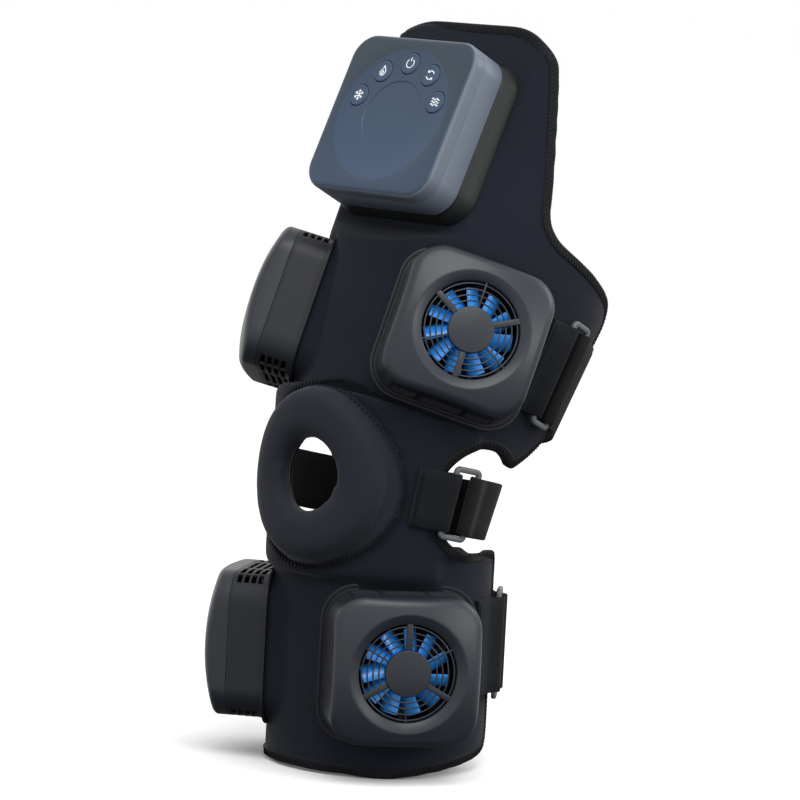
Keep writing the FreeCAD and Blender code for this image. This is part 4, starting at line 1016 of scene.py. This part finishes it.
# Closure: cuff centre, turn, rise, cloth radius and its slope, ring length, tab, strap anchor.
closures = {"thigh": (-6.0, 101.0, 85.0, 83.05, 0.11, 68.0, 9.0, 106.0),
            "knee": (-8.0, 76.0, -7.0, 74.875, 0.125, 45.0, 15.0, 62.0),
            "calf": (-13.0, 131.0, -92.0, 66.5, 0.0, 68.0, 22.0, 119.0)}
ring_stand, bar_place, bar_half, ring_half = 5.21, 7.7, 1.8, 1.6
ring_seats = {}
for cuff, (centre, turn, rise, radius, slope, *_) in closures.items():
    tip = -math.degrees(math.atan(slope))
    ring_seats[cuff] = lean[cuff] @ outward(centre, turn, radius + ring_stand, rise, tip)

bar_corner, bar_section = 1.1, []
for across, out, first in ((1, -1, -90), (1, 1, 0), (-1, 1, 90), (-1, -1, 180)):
    for a in (0, 30, 60, 90):
        x, y = polar(bar_corner, a + first)
        bar_section.append((across * (bar_half - bar_corner) + x, out * (ring_half - bar_corner) + y))

# Glass-filled acetal: mid grey, satin, with a faint flow of its glass.
acetal = textured("glass_filled_acetal", "#54585C", 0.42, (2600, 2, 0.15, 0.05),
                  (120, 4, "#505458", "#5B5F63"))

turn_radius = 2
for cuff, seat in ring_seats.items():
    half = closures[cuff][5] / 2 - bar_half
    places = []
    for x, y, first in ((1, 1, 0), (-1, 1, 90), (-1, -1, 180), (1, -1, 270)):
        for a in range(0, 91, 15):
            dx, dy = polar(turn_radius, first + a)
            place = Vector((x * (bar_place - turn_radius) + dx, y * (half - turn_radius) + dy, 0))
            places.append(seat @ (place * MM))
    facing = seat.to_3x3() @ Vector((0, 0, 1))
    ring = ribbon(cuff + "_closure_ring", along_edge(places, [facing] * len(places)), bar_section)
    paint(ring, acetal)
    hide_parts(cuff + "_ring")
    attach(ring, cuff + "_ring")

# -------- ring tabs and straps
# Each tab is a doubled strip of the sleeve's cloth, sewn to the cuff and folded round its
# ring's front bar. Each strap is loop-faced webbing, sewn to the inner side, led behind the
# leg, through the ring and back on itself.


def on_cuff(cuff, turn, lift, bend=None):
    """A place on the cloth's form, or a bend's, lifted off it, its normal and the way up."""
    centre, _, rise, radius, slope, *_ = closures[cuff]
    x, y, radius = bend or (0.0, centre, radius)
    out, up = Vector((*polar(1, turn - 90), 0)), Vector((0, 0, 1))
    normal = (out - up * slope).normalized()
    place = Vector((x, y, rise)) + out * radius + normal * lift
    turn_round = lean[cuff].to_3x3()
    return lean[cuff] @ (place * MM), turn_round @ normal, turn_round @ (up + out * slope).normalized()


def wound(cuff, start, finish, steps, bend=None, lift=1.2):
    """Places on the cloth from one turn to a step short of another."""
    return [on_cuff(cuff, start + (finish - start) * k / steps, lift, bend) for k in range(steps)]


def round_bar(cuff, way, reach, angle):
    """The same beside a bar, at an angle from straight under it towards the ring's middle."""
    seat, (c, s) = ring_seats[cuff], polar(1, angle)
    place = Vector((way * (bar_place - reach * s), 0, -reach * c))
    turn_round = seat.to_3x3()
    return seat @ (place * MM), turn_round @ Vector((way * s, 0, c)), turn_round @ Vector((0, 1, 0))


def strip_frames(path):
    """Frames along an open path of places, normals and ways up, eased."""
    places, sides = eased([p for p, _, _ in path], 3), [b for _, _, b in path]
    frames = []
    for i, (p, b) in enumerate(zip(places, sides)):
        tangent = (places[min(i + 1, len(places) - 1)] - places[max(i - 1, 0)]).normalized()
        frames.append((p, b.cross(tangent).normalized(), b))
    return frames


def strip_section(half, thick):
    """A flat strip's section in mm, with soft edges."""
    t, edge = thick / 2, thick * 0.4
    upper = [(half, t - edge), (half - edge, t)]
    upper += [(half * k, t) for k in (0.6, 0.2, -0.2, -0.6)]
    upper += [(edge - half, t), (-half, t - edge)]
    lower = [(-x, -y) for x, y in upper]
    return lower[-1:] + upper + lower[:-1]


def seam_across(name, cuff, turn, lift, half):
    """A row of zigzag stitches across a strip at one turn."""
    p, n, b = on_cuff(cuff, turn, lift)
    steps = int(half * 2 / 1.3) // 2 * 2
    frames = [(p + b * (half * (2 * i / steps - 1) * MM), n, b.cross(n)) for i in range(steps + 1)]
    return stitches(name, frames, 0.8, 0.15, closed=False)


# Loop-faced nylon webbing: a dull olive black pile over a rib weave, 1.4 mm to a rib.
webbing = textured("loop_faced_webbing", "#1A1B1D", 0.9, (1700, 3, 0.4, 0.15),
                   (30, 4, "#17181A", "#1F2022"), ("UV", "Y", dict(Scale=2.2, Distortion=0.4)),
                   shine=0.06, sheen=(0.06, 0.5))
# Tab cloth: the sleeve's knit, greyer where the fold stretches it.
tab_knit = textured("stretched_knit", "#16181B", 0.78, (1300, 2, 0.3, 0.1),
                    sheen=(0.08, 0.4), shine=0.1)

# In mm: the ring's bars and slack beside a strip, the reach round a bar and the lift over the
# cloth of a tab and of a strap, and the two tighter bends of the strap behind the knee.
ring_ends, slack, tab_reach, strap_reach, tab_lift, strap_lift = 9.2, 0.2, 3.6, 4.0, 2.5, 3.1
bend_radius, tab_gap, overlap = 40.0, 3, 12.0
for cuff, (centre, turn, _, radius, _, ring, tab, anchor) in closures.items():
    half = (ring - ring_ends) / 2 - slack
    offset = math.degrees(bar_place / (radius + ring_stand))
    body = {"knee": "knee_band"}.get(cuff, cuff + "_cuff")
    front, rear = turn - offset, turn + offset
    path = wound(cuff, front - tab, front, 10, lift=1.15)
    path += [round_bar(cuff, -1, tab_reach, a) for a in range(0, 200, 15)]
    path += [on_cuff(cuff, front - tab_gap - k * (tab - tab_gap) / 8, tab_lift) for k in range(1, 9)]
    made_tab = ribbon(cuff + "_tab", strip_frames(path), strip_section(half, 1.4), closed=False)
    paint(made_tab, tab_knit)
    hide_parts(cuff + "_ring_tab")
    end, bend, wind = 360.0 - anchor + overlap, None, 1.0
    if cuff == "knee":
        wind, mirrored = radius / bend_radius, 360.0 - rear
        x, y = polar(radius - bend_radius, rear - 90)
        bend = (x, centre + y, bend_radius)
        path = wound(cuff, end, mirrored, 12)
        path += wound(cuff, mirrored, 180, 36, (-x, centre + y, bend_radius))
        path += [on_cuff(cuff, 180, 1.2, (x * k / 12, centre + y, bend_radius)) for k in range(-12, 12)]
        path += wound(cuff, 180, rear, 36, bend)
    else:
        path = wound(cuff, end, rear, int((end - rear) / 1.5))
    path += [round_bar(cuff, 1, strap_reach, a) for a in range(0, 211, 15)]
    path += [on_cuff(cuff, rear + (4 + k) * wind, strap_lift, bend) for k in range(1, 13)]
    strap = ribbon(cuff + "_back_strap", strip_frames(path), strip_section(half, 1.7), closed=False)
    paint(strap, webbing)
    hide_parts(cuff + "_strap")
    seams = [seam_across(cuff + "_tab_seam", cuff, front - tab + 1.5, 3.2, half - 2),
             seam_across(cuff + "_anchor_seam", cuff, end - 2, 2.1, half - 2),
             seam_across(cuff + "_anchor_seam_2", cuff, end - 14, 2.1, half - 2)]
    for piece in [made_tab, strap] + seams:
        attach(piece, body)
